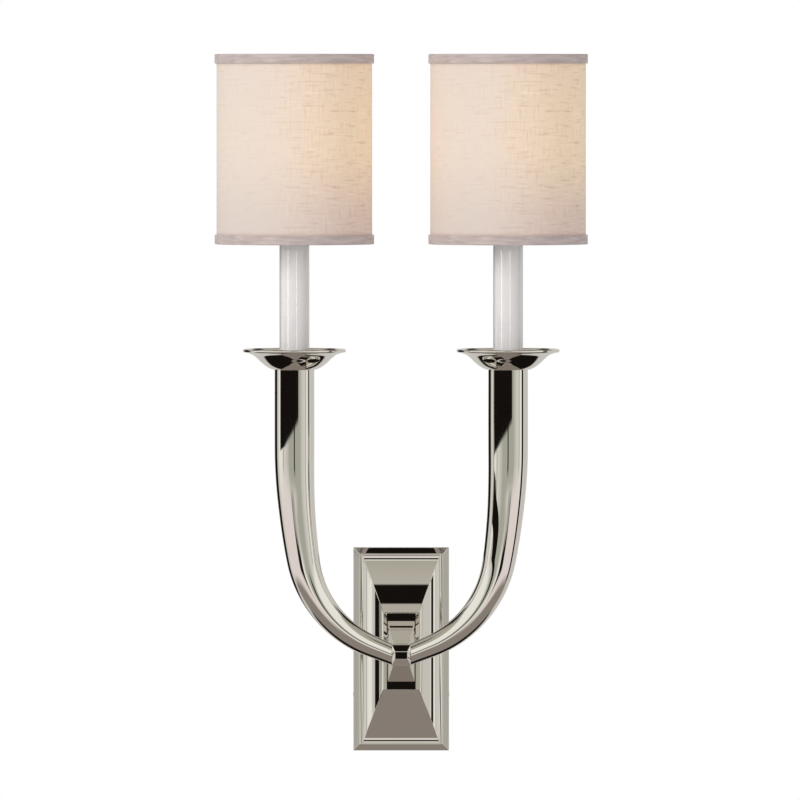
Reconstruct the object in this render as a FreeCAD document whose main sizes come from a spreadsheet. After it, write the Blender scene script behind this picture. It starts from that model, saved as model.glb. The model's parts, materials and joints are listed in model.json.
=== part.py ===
# Double arm wall sconce with two candle sleeves and two linen drum shades, as a parametric document.
#
# Frame: millimetres, +Z up, +X to the right, the wall is the plane Y = 0 and the object stands out to -Y.
# The origin is the middle of the two wall box screws. A depth is a distance out from the wall.

import FreeCAD, Part
import math
import os
import re
import Sketcher

Vector = FreeCAD.Vector
doc = FreeCAD.newDocument("double_arm_wall_sconce")

# --- driving dimensions ---------------------------------------------------------------------------

SIZES = {
    # wall plate: a bevelled border, a bead and a hollow concave pyramid
    "plate_width": 71.0,
    "plate_height": 151.0,
    "plate_side_depth": 7.5,
    "border_width": 4.5,
    "border_rise": 3.0,
    "bead_width": 2.7,
    "bead_rise": 2.0,
    "bead_inset": 0.5,
    "bead_round": 1.4,
    "plate_wall": 2.0,
    "plate_web": 3.0,
    "plate_cove_depth": 26.0,
    # neck: a flat collar, a tall pyramid on it and a short square stalk
    "collar_width": 26.6,
    "collar_height": 57.2,
    "collar_depth": 2.5,
    "neck_base_width": 20.0,
    "neck_base_height": 45.0,
    "neck_tip_width": 10.8,
    "neck_tip_height": 12.8,
    "neck_stalk": 4.0,
    "cove_start_angle": 9.0,
    "plate_cove_end_angle": 60.0,
    # hub block between the arms
    "arm_plane": 90.0,
    "hub_width": 14.0,
    "hub_height": 15.4,
    "hub_depth": 20.0,
    "hub_bevel": 3.5,
    "hub_facet_width": 9.4,
    "hub_facet_height": 5.8,
    "hub_arm_bore": 4.6,
    "wire_bore": 3.2,
    # arms: tapered horns, upright at the top
    "arm_spacing": 157.0,
    "arm_top": 209.8,
    "arm_seat_height": 0.4,
    "arm_slope": 21.7,
    "arm_upper_turn": 9.2,
    "arm_upper_radius": 500.0,
    "arm_lower_radius": 82.7,
    "arm_top_radius": 14.6,
    "arm_upright_radius": 14.6,
    "arm_knee_radius": 12.1,
    "arm_tip_radius": 7.0,
    "arm_wall": 1.2,
    "arm_plug": 4.0,
    # stem that clamps the neck to the plate, and the threaded pipes
    "pipe_radius": 5.0,
    "pipe_bore": 3.3,
    "pipe_fit": 0.06,
    "stem_back": 27.0,
    "stem_grip": 20.0,
    "nut_flats": 14.0,
    "nut_height": 5.0,
    "washer_radius": 8.5,
    "washer_height": 1.2,
    # bracket on the wall box
    "bracket_width": 20.0,
    "bracket_height": 108.0,
    "bracket_steel": 1.6,
    "box_screw_spacing": 83.3,
    "box_screw_hole": 2.3,
    "bracket_window": 7.5,
    "bracket_bar_height": 16.0,
    "bracket_bar_level": -34.0,
    "ear_depth": 6.2,
    "ear_gap": 0.2,
    "side_screw_radius": 1.5,
    "side_screw_length": 5.2,
    "side_screw_depth": 3.8,
    "side_screw_proud": 0.2,
    "screw_fit": 0.05,
    "screw_socket_radius": 0.9,
    "screw_socket_depth": 1.4,
    "earth_screw_level": -19.0,
    "earth_screw_radius": 2.0,
    "earth_head_radius": 3.6,
    "earth_head_height": 2.2,
    "earth_slot_width": 0.9,
    "earth_slot_depth": 1.1,
    "terminal_width": 26.0,
    "terminal_height": 12.0,
    "terminal_depth": 11.0,
    "terminal_level": 26.0,
    "terminal_screw_radius": 1.8,
    "terminal_screw_recess": 2.0,
    "terminal_screw_pitch": 8.0,
    # bobeche, the drip dish
    "bobeche_radius": 37.9,
    "bobeche_height": 15.2,
    "bobeche_foot_radius": 15.5,
    "bobeche_sheet": 1.2,
    "bobeche_rim": 1.8,
    "bobeche_rim_edge": 0.4,
    "bobeche_lean": 35.0,
    "bobeche_bowl_bow": 1.4,
    "bobeche_turn_radius": 30.0,
    "bobeche_turn_height": 10.4,
    "bobeche_lip_bow": 0.5,
    # candle sleeve with the socket inside
    "sleeve_radius": 11.0,
    "sleeve_wall": 1.2,
    "sleeve_height": 109.0,
    "nipple_height": 14.0,
    "holder_steel": 1.0,
    "holder_foot_radius": 9.2,
    "holder_leg_width": 8.0,
    "holder_leg_offset": 8.2,
    "holder_tab_reach": 2.0,
    "holder_height": 80.0,
    "socket_radius": 9.2,
    "socket_height": 27.0,
    "socket_bore": 7.0,
    "socket_floor": 3.0,
    "shell_wall": 0.6,
    "shell_fit": 0.1,
    "shell_height": 22.0,
    "contact_radius": 2.4,
    "contact_height": 2.6,
    # bulb
    "bulb_fit": 0.3,
    "bulb_cap_height": 20.0,
    "bulb_cap_taper": 3.0,
    "bulb_tip_radius": 2.2,
    "bulb_tip_height": 1.8,
    "bulb_height": 77.0,
    "bulb_radius": 17.5,
    "bulb_widest": 26.0,
    "bulb_shoulder_angle": 48.0,
    "bulb_neck_radius": 5.6,
    "bulb_wall": 0.9,
    "bulb_point_radius": 2.6,
    "filament_radius": 0.8,
    "filament_rise": 30.0,
    "filament_pitch": 3.0,
    "mount_radius": 3.0,
    "mount_base_radius": 4.4,
    "mount_height": 12.0,
    # clip that grips the bulb, with the rivet that the shade turns on
    "clip_wire": 0.8,
    "clip_gap": 0.4,
    "clip_finger_width": 12.0,
    "clip_knee_drop": 24.0,
    "clip_knee_slack": 1.2,
    "clip_grip_drop": 45.0,
    "clip_plate_radius": 8.5,
    "clip_plate_height": 1.4,
    "clip_lift": 5.0,
    "clip_corner": 3.5,
    "clip_knee_radius": 30.0,
    "rivet_radius": 2.2,
    "rivet_head_radius": 4.5,
    "rivet_head_height": 1.4,
    "swivel_fit": 0.1,
    # shade
    "shade_radius": 57.15,
    "shade_height": 139.7,
    "shade_level": 302.0,
    "shade_wall": 1.0,
    "trim_thick": 1.5,
    "trim_height": 7.0,
    "trim_fold": 0.75,
    "trim_fit": 0.05,
    "ring_wire": 1.25,
    "ring_inset": 5.6,
    "spider_wire": 1.1,
    "spider_hub_radius": 9.5,
    "spider_hub_height": 2.4,
    "spider_root": 2.0,
    # wires
    "lead_radius": 0.9,
    "lead_offset": 1.1,
    "lead_bend": 4.0,
    "lead_hub_bend": 3.0,
    "lead_depth": 6.5,
    "lead_slack": 5.0,
    "lead_side_step": 5.6,
    "lead_step_start": 6.0,
    "lead_step_end": 30.0,
    "lead_step_bend": 40.0,
}

sizes = doc.addObject("Spreadsheet::Sheet", "sizes")
for row, (alias, size) in enumerate(SIZES.items(), start=1):
    sizes.set(f"A{row}", alias.replace("_", " "))
    sizes.set(f"B{row}", str(size))
    sizes.setAlias(f"B{row}", alias)

# --- places that follow from the dimensions -------------------------------------------------------

PLACES = {
    "border_front": "plate_side_depth + border_rise",
    "bead_front": "border_front + bead_rise",
    "bead_foot_width": "plate_width - 2 * border_width",
    "bead_foot_height": "plate_height - 2 * border_width",
    "cove_width": "bead_foot_width - 2 * bead_width",
    "cove_height": "bead_foot_height - 2 * bead_width",
    "collar_back": "bead_front + plate_cove_depth",
    "collar_front": "collar_back + collar_depth",
    "hub_back": "arm_plane - hub_depth / 2",
    "neck_stalk_back": "hub_back - neck_stalk",
    "web_back": "collar_back - plate_web",
    "washer_back": "web_back - washer_height",
    "nut_back": "washer_back - nut_height",
    "pipe_hole": "pipe_radius + pipe_fit",
    "candle_x": "arm_spacing / 2",
    "hub_side": "hub_width / 2",
    "arm_lower_turn": "90 - arm_slope - arm_upper_turn",
    "knee_x": "candle_x - arm_upper_radius * (1 - cos(arm_upper_turn * 1deg))",
    "bend_x": "knee_x - arm_lower_radius * (cos(arm_upper_turn * 1deg) - sin(arm_slope * 1deg))",
    "bend_z": "arm_seat_height + (bend_x - hub_side) * tan(arm_slope * 1deg)",
    "knee_z": "bend_z + arm_lower_radius * (cos(arm_slope * 1deg) - sin(arm_upper_turn * 1deg))",
    "upright_z": "knee_z + arm_upper_radius * sin(arm_upper_turn * 1deg)",
    "stub_overrun": "arm_tip_radius * tan(arm_slope * 1deg) + arm_wall",
    "stub_end_x": "hub_side - stub_overrun * cos(arm_slope * 1deg)",
    "stub_end_z": "arm_seat_height - stub_overrun * sin(arm_slope * 1deg)",
    "arm_bend_run": "arm_lower_radius * arm_lower_turn * pi / 180",
    "arm_stub_run": "(bend_x - hub_side) / cos(arm_slope * 1deg) + stub_overrun",
    "dish_floor": "arm_top + bobeche_sheet",
    "foot_top": "dish_floor + holder_steel",
    "holder_top": "dish_floor + holder_height",
    "contact_base": "holder_top + socket_floor",
    "shell_radius": "socket_bore - shell_fit",
    "bulb_cap_radius": "shell_radius - shell_wall - bulb_fit",
    "bulb_base": "contact_base + contact_height + bulb_fit",
    "glass_base": "bulb_base + bulb_tip_height + bulb_cap_height",
    "glass_top": "glass_base + bulb_height",
    "clip_base": "glass_top + clip_lift",
    "clip_front": "clip_base + clip_plate_height",
    "spider_hub": "clip_front + swivel_fit",
    "rivet_head": "spider_hub + spider_hub_height + swivel_fit",
    "shade_top": "shade_level + shade_height",
    "shade_bore": "shade_radius - shade_wall",
    "ring_radius": "shade_bore - trim_fit - ring_wire",
    "ear_face": "plate_width / 2 - plate_wall - ear_gap",
    "bulb_point": "bulb_height - bulb_point_radius",
    "flank_angle": "asin((bulb_radius - bulb_point_radius) / (bulb_point - bulb_widest)) / 1deg",
}


def bound(formula, inside_places=False):
    """Puts the sheet's name before each alias in a formula."""

    def full_name(match):
        word = match.group(0)
        if word in SIZES:
            return f"sizes.{word}"
        if word in PLACES and not inside_places:
            return f"places.{word}"
        return word

    return re.sub(r"[a-z][a-z_]*", full_name, formula)


places = doc.addObject("Spreadsheet::Sheet", "places")
for row, (alias, formula) in enumerate(PLACES.items(), start=1):
    places.set(f"A{row}", alias.replace("_", " "))
    places.set(f"B{row}", "=" + bound(formula, inside_places=True))
    places.setAlias(f"B{row}", alias)
doc.recompute()


# --- helpers --------------------------------------------------------------------------------------

SIDES = {"left": -1, "right": 1}
finished = []


def value(formula):
    """The number that a formula of the two sheets gives now."""
    return float(sizes.evalExpression(bound(formula)))


def bind(thing, **formulas):
    """Ties properties to formulas; a double underscore stands for the dot in a property's path."""
    for name, formula in formulas.items():
        thing.setExpression(name.replace("__", "."), bound(formula))
    return thing


def new_body(label):
    body = doc.addObject("PartDesign::Body", label)
    body.Label = label
    finished.append(body)
    return body


def feature(body, kind, name, **settings):
    made = body.newObject(f"PartDesign::{kind}", name)
    for setting, content in settings.items():
        setattr(made, setting, content)
    return made


def sketch_on(body, name, plane, level="0"):
    """A sketch on one of the body's own planes, moved along the plane's normal."""
    sketch = body.newObject("Sketcher::SketchObject", name)
    support = next(o for o in body.Origin.OriginFeatures if o.Role == f"{plane}_Plane")
    sketch.AttachmentSupport = [(support, "")]
    sketch.MapMode = "FlatFace"
    return bind(sketch, AttachmentOffset__Base__z=level)


def fix(sketch, kind, *geometry, formula=None):
    """Adds a constraint and ties its size to a formula."""
    if formula is None:
        sketch.addConstraint(Sketcher.Constraint(kind, *geometry))
        return
    index = sketch.addConstraint(Sketcher.Constraint(kind, *geometry, value(formula)))
    sketch.setExpression(f"Constraints[{index}]", bound(formula))


def circle(sketch, radius, x="0", y="0"):
    centre = Vector(value(x), value(y), 0)
    index = sketch.addGeometry(Part.Circle(centre, Vector(0, 0, 1), value(radius)), False)
    fix(sketch, "Radius", index, formula=radius)
    fix(sketch, "DistanceX", -1, 1, index, 3, formula=x)
    fix(sketch, "DistanceY", -1, 1, index, 3, formula=y)
    return sketch


def arc_between(start, end, radius, turn):
    """The short arc from start to end; turn is left or right, as seen when walking along it."""
    chord = end - start
    left = Vector(-chord.y, chord.x, 0).normalize()
    side = 1 if turn == "left" else -1
    reach = math.sqrt(radius**2 - (chord.Length / 2) ** 2)
    centre = start + chord * 0.5 + left * (side * reach)
    angles = [math.atan2(p.y - centre.y, p.x - centre.x) for p in (start, end)]
    first, last = angles if turn == "left" else reversed(angles)
    return Part.ArcOfCircle(Part.Circle(centre, Vector(0, 0, 1), radius), first, last)


def outline(sketch, corners, closed=True):
    """Lines and arcs through corners. A corner is (x, y), or (x, y, radius, turn) where an arc leaves it."""
    spots = [Vector(value(corner[0]), value(corner[1]), 0) for corner in corners]
    edge_count = len(corners) if closed else len(corners) - 1
    starts, ends = [], []
    for number in range(edge_count):
        corner = corners[number]
        start, end = spots[number], spots[(number + 1) % len(spots)]
        backwards = len(corner) == 4 and corner[3] == "right"
        if len(corner) == 4:
            edge = arc_between(start, end, value(corner[2]), corner[3])
        else:
            edge = Part.LineSegment(start, end)
        index = sketch.addGeometry(edge, False)
        starts.append((index, 2 if backwards else 1))
        ends.append((index, 1 if backwards else 2))
    for number in range(edge_count if closed else edge_count - 1):
        fix(sketch, "Coincident", *ends[number], *starts[(number + 1) % edge_count])
    points = starts if closed else starts + [ends[-1]]
    for point, corner in zip(points, corners):
        fix(sketch, "DistanceX", -1, 1, *point, formula=corner[0])
        fix(sketch, "DistanceY", -1, 1, *point, formula=corner[1])
    for (index, _), corner in zip(starts, corners):
        if len(corner) == 4:
            fix(sketch, "Radius", index, formula=corner[2])
    return sketch


def box_corners(left, right, low, high):
    return [(left, low), (right, low), (right, high), (left, high)]


def bow(start, end, sagitta, steps):
    """Corners on a shallow bow between two corners; it bulges to the right, as seen when walking along it."""
    (x0, y0), (x1, y1) = start, end
    run = f"sqrt((({x1}) - ({x0})) ^ 2 + (({y1}) - ({y0})) ^ 2)"
    corners = []
    for step in range(1, steps):
        share = step / steps
        rise = f"({sagitta}) * {4 * share * (1 - share)} / {run}"
        corners.append((
            f"({x0}) + (({x1}) - ({x0})) * {share} + (({y1}) - ({y0})) * {rise}",
            f"({y0}) + (({y1}) - ({y0})) * {share} - (({x1}) - ({x0})) * {rise}",
        ))
    return corners


def rectangle(body, name, plane, level, width, height, x="0", y="0"):
    sides = (f"({x}) - ({width}) / 2", f"({x}) + ({width}) / 2")
    ends = (f"({y}) - ({height}) / 2", f"({y}) + ({height}) / 2")
    return outline(sketch_on(body, name, plane, level), box_corners(*sides, *ends))


def pad(body, sketch, length, name):
    return bind(feature(body, "Pad", name, Profile=sketch), Length=length)


def pocket(body, sketch, length, name, along_normal=True):
    made = feature(body, "Pocket", name, Profile=sketch, Reversed=along_normal)
    return bind(made, Length=length)


def drill_through(body, sketch, name):
    return feature(body, "Pocket", name, Profile=sketch, Type="ThroughAll", Midplane=True)


def turn(body, corners, name, cut=False):
    """Turns a profile of (radius, height) corners about the body's Z axis."""
    sketch = outline(sketch_on(body, f"{name}_profile", "XZ"), corners)
    kind = "Groove" if cut else "Revolution"
    return feature(body, kind, name, Profile=sketch, ReferenceAxis=(sketch, ["V_Axis"]), Angle=360.0)


def tube_corners(bore, radius, low, high):
    return box_corners(bore, radius, low, high)


def at_candle(body, side, level="0"):
    """Puts a body made about its own Z axis on the axis of the left or the right candle."""
    return bind(
        body,
        Placement__Base__x=f"{SIDES[side]} * candle_x",
        Placement__Base__y="-arm_plane",
        Placement__Base__z=level,
    )


def point_out(body, height="0"):
    """Lays a body made about its own Z axis down, so that Z points out from the wall."""
    body.Placement = FreeCAD.Placement(Vector(), FreeCAD.Rotation(Vector(1, 0, 0), 90))
    return bind(body, Placement__Base__z=height)


COVE_STEPS = 4


def cove_sections(body, name, back, depth, base, tip, end_angle, inset="0"):
    """Rectangles of a concave pyramid: straight hips in front view, an arc's slope that grows outwards."""
    sections = []
    for step in range(COVE_STEPS + 1):
        angle = f"(cove_start_angle + (({end_angle}) - cove_start_angle) * {step} / {COVE_STEPS})"
        rise = (
            f"(cos(cove_start_angle * 1deg) - cos({angle} * 1deg))"
            f" / (cos(cove_start_angle * 1deg) - cos(({end_angle}) * 1deg))"
        )
        draw = (
            f"(sin({angle} * 1deg) - sin(cove_start_angle * 1deg))"
            f" / (sin(({end_angle}) * 1deg) - sin(cove_start_angle * 1deg))"
        )
        spans = [f"{b} - ({b} - {t}) * {draw} - 2 * ({inset})" for b, t in zip(base, tip)]
        level = f"{back} + ({depth}) * {rise}"
        sections.append(rectangle(body, f"{name}_section_{step}", "XZ", level, *spans))
    return sections


def loft(body, name, sections, cut=False):
    kind = "SubtractiveLoft" if cut else "AdditiveLoft"
    return feature(body, kind, name, Profile=sections[0], Sections=sections[1:])


def frustum(body, name, back, back_size, front, front_size):
    """A straight sided pyramid stump between two rectangles."""
    first = rectangle(body, f"{name}_back", "XZ", back, *back_size)
    last = rectangle(body, f"{name}_front", "XZ", front, *front_size)
    return loft(body, name, [first, last])


def rounded_path(points, radii):
    """Straight runs through points, with an arc of the given radius at each inner point."""
    edges = []
    start = points[0]
    for before, corner, after, radius in zip(points, points[1:], points[2:], radii):
        incoming = (corner - before).normalize()
        outgoing = (after - corner).normalize()
        turn_angle = incoming.getAngle(outgoing)
        reach = radius * math.tan(turn_angle / 2)
        inward = (outgoing - incoming).normalize()
        middle = corner + inward * (radius / math.cos(turn_angle / 2) - radius)
        arc_start, arc_end = corner - incoming * reach, corner + outgoing * reach
        edges.append(Part.makeLine(start, arc_start))
        edges.append(Part.Arc(arc_start, middle, arc_end).toShape())
        start = arc_end
    edges.append(Part.makeLine(start, points[-1]))
    return Part.Wire(edges)


WIRE_SIDES = 6


def wire_along(points, radii, radius):
    """A thin wire along a rounded path, as one solid with a six sided section."""
    path = rounded_path(points, radii)
    ring = Part.makeCircle(radius, points[0], points[1] - points[0])
    corners = ring.discretize(WIRE_SIDES + 1)
    solid = path.makePipeShell([Part.makePolygon(corners)], True, True)
    section = WIRE_SIDES / 2 * radius**2 * math.sin(2 * math.pi / WIRE_SIDES)
    assert abs(solid.Volume / (section * path.Length) - 1) < 0.01, "a wire's volume is off"
    return solid


def free_shape(label, shape, placement=None):
    """A piece that only Part's own functions make; its placement is set after its shape."""
    made = doc.addObject("Part::Feature", label)
    made.Shape = shape
    if placement is not None:
        made.Placement = placement
    made.Label = label
    finished.append(made)
    return made


# --- wall side ------------------------------------------------------------------------------------


def mounting_bracket():
    """Steel strap on the wall box, with a cross bar whose ears take the side screws."""
    body = new_body("mounting_bracket")
    strap = rectangle(body, "strap_outline", "XZ", "0", "bracket_width", "bracket_height")
    pad(body, strap, "bracket_steel", "strap")
    bar = rectangle(
        body, "bar_outline", "XZ", "0", "2 * ear_face", "bracket_bar_height", y="bracket_bar_level"
    )
    pad(body, bar, "bracket_steel", "bar")
    for side, sign in SIDES.items():
        ear = rectangle(
            body, f"{side}_ear_outline", "XZ", "0", "bracket_steel", "bracket_bar_height",
            x=f"{sign} * (ear_face - bracket_steel / 2)", y="bracket_bar_level",
        )
        pad(body, ear, "ear_depth", f"{side}_ear")
    holes = sketch_on(body, "hole_outlines", "XZ")
    circle(holes, "bracket_window")
    circle(holes, "box_screw_hole", y="box_screw_spacing / 2")
    circle(holes, "box_screw_hole", y="-box_screw_spacing / 2")
    circle(holes, "earth_screw_radius + screw_fit", y="earth_screw_level")
    drill_through(body, holes, "holes")
    ear_holes = sketch_on(body, "ear_hole_outline", "YZ")
    circle(ear_holes, "side_screw_radius + screw_fit", x="-side_screw_depth", y="bracket_bar_level")
    drill_through(body, ear_holes, "ear_holes")


def side_screws():
    """Two socket set screws through the plate's sides into the bracket's ears."""
    screws = []
    for side, sign in SIDES.items():
        shank = doc.addObject("Part::Cylinder", f"{side}_screw_shank")
        bind(shank, Radius="side_screw_radius", Height="side_screw_length")
        recess = doc.addObject("Part::Prism", f"{side}_screw_recess")
        recess.Polygon = 6
        bind(recess, Circumradius="screw_socket_radius", Height="screw_socket_depth")
        bind(recess, Placement__Base__z="side_screw_length - screw_socket_depth")
        screw = doc.addObject("Part::Cut", f"{side}_screw")
        screw.Base, screw.Tool = shank, recess
        screw.Placement = FreeCAD.Placement(Vector(), FreeCAD.Rotation(Vector(0, 1, 0), 90 * sign))
        inner_end = "plate_width / 2 + side_screw_proud - side_screw_length"
        bind(
            screw,
            Placement__Base__x=f"{sign} * ({inner_end})",
            Placement__Base__y="-side_screw_depth",
            Placement__Base__z="bracket_bar_level",
        )
        screws.append(screw)
    pair = doc.addObject("Part::Compound", "side_screws")
    pair.Links = screws
    pair.Label = "side_screws"
    finished.append(pair)


def earth_screw():
    """Slotted screw in the strap, for the building's earth wire."""
    body = new_body("earth_screw")
    turn(
        body,
        [
            ("0", "screw_fit"),
            ("earth_screw_radius", "screw_fit"),
            ("earth_screw_radius", "bracket_steel"),
            ("earth_head_radius", "bracket_steel"),
            ("earth_head_radius", "bracket_steel + earth_head_height"),
            ("0", "bracket_steel + earth_head_height"),
        ],
        "screw",
    )
    slot_level = "bracket_steel + earth_head_height - earth_slot_depth"
    slot = rectangle(
        body, "slot_outline", "XY", slot_level, "3 * earth_head_radius", "earth_slot_width"
    )
    pocket(body, slot, "2 * earth_slot_depth", "slot")
    point_out(body, "earth_screw_level")


def terminal_block():
    """Insulating block on the strap, with three screws in recesses, where the leads end."""
    body = new_body("terminal_block")
    block = rectangle(
        body, "block_outline", "XZ", "bracket_steel", "terminal_width", "terminal_height",
        y="terminal_level",
    )
    pad(body, block, "terminal_depth", "block")
    wells = sketch_on(body, "well_outlines", "XZ", "bracket_steel + terminal_depth")
    for step in (-1, 0, 1):
        circle(wells, "terminal_screw_radius", x=f"{step} * terminal_screw_pitch", y="terminal_level")
    pocket(body, wells, "terminal_screw_recess", "wells", along_normal=False)


def backplate():
    """Hollow cast plate: side walls, bevelled border, bead, concave pyramid and a web for the stem."""
    body = new_body("backplate")
    base = rectangle(body, "base_outline", "XZ", "0", "plate_width", "plate_height")
    pad(body, base, "plate_side_depth", "side_walls")
    bead_foot = ("bead_foot_width", "bead_foot_height")
    frustum(body, "border", "plate_side_depth", ("plate_width", "plate_height"), "border_front", bead_foot)
    bead_size = [f"{span} - 2 * bead_inset" for span in bead_foot]
    bead = pad(body, rectangle(body, "bead_outline", "XZ", "border_front", *bead_size), "bead_rise", "bead")
    doc.recompute()
    front_edges = edges_at_depth(bead, value("bead_front"))
    rounded = feature(body, "Fillet", "bead_round_over", Base=(bead, front_edges))
    bind(rounded, Radius="bead_round")
    opening, collar = ("cove_width", "cove_height"), ("collar_width", "collar_height")
    angle = "plate_cove_end_angle"
    outer = cove_sections(body, "cove", "bead_front", "plate_cove_depth", opening, collar, angle)
    loft(body, "cove", outer)
    for name, spans, depth in (
        ("side_hollow", ("plate_width", "plate_height"), "plate_side_depth - plate_wall / 2"),
        ("border_hollow", bead_foot, "border_front - plate_wall"),
        ("bead_hollow", opening, "bead_front - plate_wall"),
    ):
        inner = [f"{span} - 2 * plate_wall" for span in spans]
        pocket(body, rectangle(body, f"{name}_outline", "XZ", "0", *inner), depth, name)
    hollow_back = "(bead_front - plate_wall)"
    hollow_depth = "web_back - bead_front + plate_wall"
    inner = cove_sections(
        body, "hollow", hollow_back, hollow_depth, opening, collar, angle, inset="plate_wall"
    )
    loft(body, "cove_hollow", inner, cut=True)
    drill_through(body, circle(sketch_on(body, "stem_hole_outline", "XZ"), "pipe_hole"), "stem_hole")
    side_holes = sketch_on(body, "side_hole_outline", "YZ")
    circle(side_holes, "side_screw_radius + screw_fit", x="-side_screw_depth", y="bracket_bar_level")
    drill_through(body, side_holes, "side_holes")


def edges_at_depth(made, depth):
    """Names of a feature's edges that lie whole in the plane at a depth."""
    names = []
    for number, edge in enumerate(made.Shape.Edges, start=1):
        if all(abs(vertex.Y + depth) < 1e-6 for vertex in edge.Vertexes):
            names.append(f"Edge{number}")
    return names


def neck():
    """Second casting: collar, pyramid and stalk, bored for the stem and wires."""
    body = new_body("neck")
    collar, base = ("collar_width", "collar_height"), ("neck_base_width", "neck_base_height")
    tip = ("neck_tip_width", "neck_tip_height")
    pad(body, rectangle(body, "collar_outline", "XZ", "collar_back", *collar), "collar_depth", "collar")
    frustum(body, "pyramid", "collar_front", base, "neck_stalk_back", tip)
    pad(body, rectangle(body, "stalk_outline", "XZ", "neck_stalk_back", *tip), "neck_stalk", "stalk")
    stem_seat = circle(sketch_on(body, "stem_seat_outline", "XZ", "collar_back"), "pipe_hole")
    pocket(body, stem_seat, "stem_grip", "stem_seat")
    drill_through(body, circle(sketch_on(body, "bore_outline", "XZ"), "wire_bore"), "bore")


def hub_block():
    """Block at the tip: a bevelled front facet, flat sides that the arms seat on, and crossing bores."""
    body = new_body("hub_block")
    block = ("hub_width", "hub_height")
    facet = ("hub_facet_width", "hub_facet_height")
    square_part = "hub_depth - hub_bevel"
    pad(body, rectangle(body, "block_outline", "XZ", "hub_back", *block), square_part, "block")
    frustum(
        body, "front_bevel", f"hub_back + {square_part}", block, "hub_back + hub_depth", facet
    )
    back_bore = circle(sketch_on(body, "back_bore_outline", "XZ", "hub_back"), "wire_bore")
    pocket(body, back_bore, "hub_depth / 2 + wire_bore", "back_bore")
    cross = sketch_on(body, "cross_bore_outline", "YZ")
    drill_through(body, circle(cross, "hub_arm_bore", x="-arm_plane", y="arm_seat_height"), "cross_bore")


def stem_tube():
    """Threaded pipe through the plate's web into the neck."""
    body = new_body("stem_tube")
    turn(body, tube_corners("pipe_bore", "pipe_radius", "stem_back", "collar_back + stem_grip"), "pipe")
    point_out(body)


def stem_washer():
    body = new_body("stem_washer")
    turn(body, tube_corners("pipe_hole", "washer_radius", "washer_back", "web_back"), "washer")
    point_out(body)


def hex_nut(label):
    """Hexagonal nut about its own Z axis, with its base at zero and a flat on either side of X."""
    body = new_body(label)
    sketch = sketch_on(body, "nut_outline", "XY")
    across_corners = "nut_flats / cos(30deg) / 2"
    corners = []
    for number in range(6):
        angle = f"{60 * number + 30} * 1deg"
        corners.append((f"{across_corners} * cos({angle})", f"{across_corners} * sin({angle})"))
    outline(sketch, corners)
    circle(sketch, "pipe_hole")
    pad(body, sketch, "nut_height", "nut")
    return body


def stem_nut():
    body = point_out(hex_nut("stem_nut"))
    bind(body, Placement__Base__y="-nut_back")


# --- arms and candles -----------------------------------------------------------------------------


UPPER_ARC_STEPS = 2
LOWER_ARC_STEPS = 5


def arm_stations():
    """Rings along an arm's centre line, from the top down: radius, x, z and lean as formulas."""
    stations = [
        ("arm_top_radius", "candle_x", "arm_top", "0"),
        ("arm_upright_radius", "candle_x", "upright_z", "0"),
    ]
    for step in range(1, UPPER_ARC_STEPS + 1):
        share = f"{step} / {UPPER_ARC_STEPS}"
        lean = f"(arm_upper_turn * {share})"
        radius = f"arm_upright_radius + (arm_knee_radius - arm_upright_radius) * {share}"
        x = f"candle_x - arm_upper_radius * (1 - cos({lean} * 1deg))"
        z = f"upright_z - arm_upper_radius * sin({lean} * 1deg)"
        stations.append((radius, x, z, lean))
    for step in range(1, LOWER_ARC_STEPS + 1):
        share = f"{step} / {LOWER_ARC_STEPS}"
        lean = f"(arm_upper_turn + arm_lower_turn * {share})"
        run = f"arm_bend_run * {share} / (arm_bend_run + arm_stub_run)"
        radius = f"arm_knee_radius + (arm_tip_radius - arm_knee_radius) * {run}"
        x = f"knee_x - arm_lower_radius * (cos(arm_upper_turn * 1deg) - cos({lean} * 1deg))"
        z = f"knee_z - arm_lower_radius * (sin({lean} * 1deg) - sin(arm_upper_turn * 1deg))"
        stations.append((radius, x, z, lean))
    stations.append(("arm_tip_radius", "stub_end_x", "stub_end_z", "(90 - arm_slope)"))
    return stations


def arm(side):
    """Hollow horn: rings that shrink along an upright run, two arcs and a sloping stub."""
    sign = SIDES[side]
    body = bind(new_body(f"{side}_arm"), Placement__Base__y="-arm_plane")
    for kind, thinner in (("AdditiveLoft", "0"), ("SubtractiveLoft", "arm_wall")):
        rings = []
        for number, (radius, x, z, lean) in enumerate(arm_stations()):
            ring = sketch_on(body, f"ring_{number}", "XY", z)
            circle(ring, f"{radius} - {thinner}")
            ring.AttachmentOffset = FreeCAD.Placement(Vector(), FreeCAD.Rotation(Vector(0, 1, 0), 1))
            bind(ring, AttachmentOffset__Base__x=f"{sign} * ({x})")
            bind(ring, AttachmentOffset__Rotation__Angle=f"{sign} * {lean} * 1deg")
            rings.append(ring)
        horn = "horn" if kind == "AdditiveLoft" else "hollow"
        feature(body, kind, horn, Profile=rings[0], Sections=rings[1:], Ruled=True)
    plug = sketch_on(body, "plug_outline", "XY", "arm_top - arm_plug")
    circle(plug, "arm_top_radius - arm_wall / 2", x=f"{sign} * candle_x")
    pad(body, plug, "arm_plug", "plug")
    hole = sketch_on(body, "plug_hole_outline", "XY", "arm_top - arm_plug")
    circle(hole, "pipe_hole", x=f"{sign} * candle_x")
    pocket(body, hole, "arm_plug", "plug_hole")
    overhang = rectangle(
        body, "seat_cut_outline", "XZ", "0", "2 * stub_overrun", "6 * arm_tip_radius",
        x=f"{sign} * (hub_side - stub_overrun)",
    )
    drill_through(body, overhang, "seat_cut")


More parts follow.
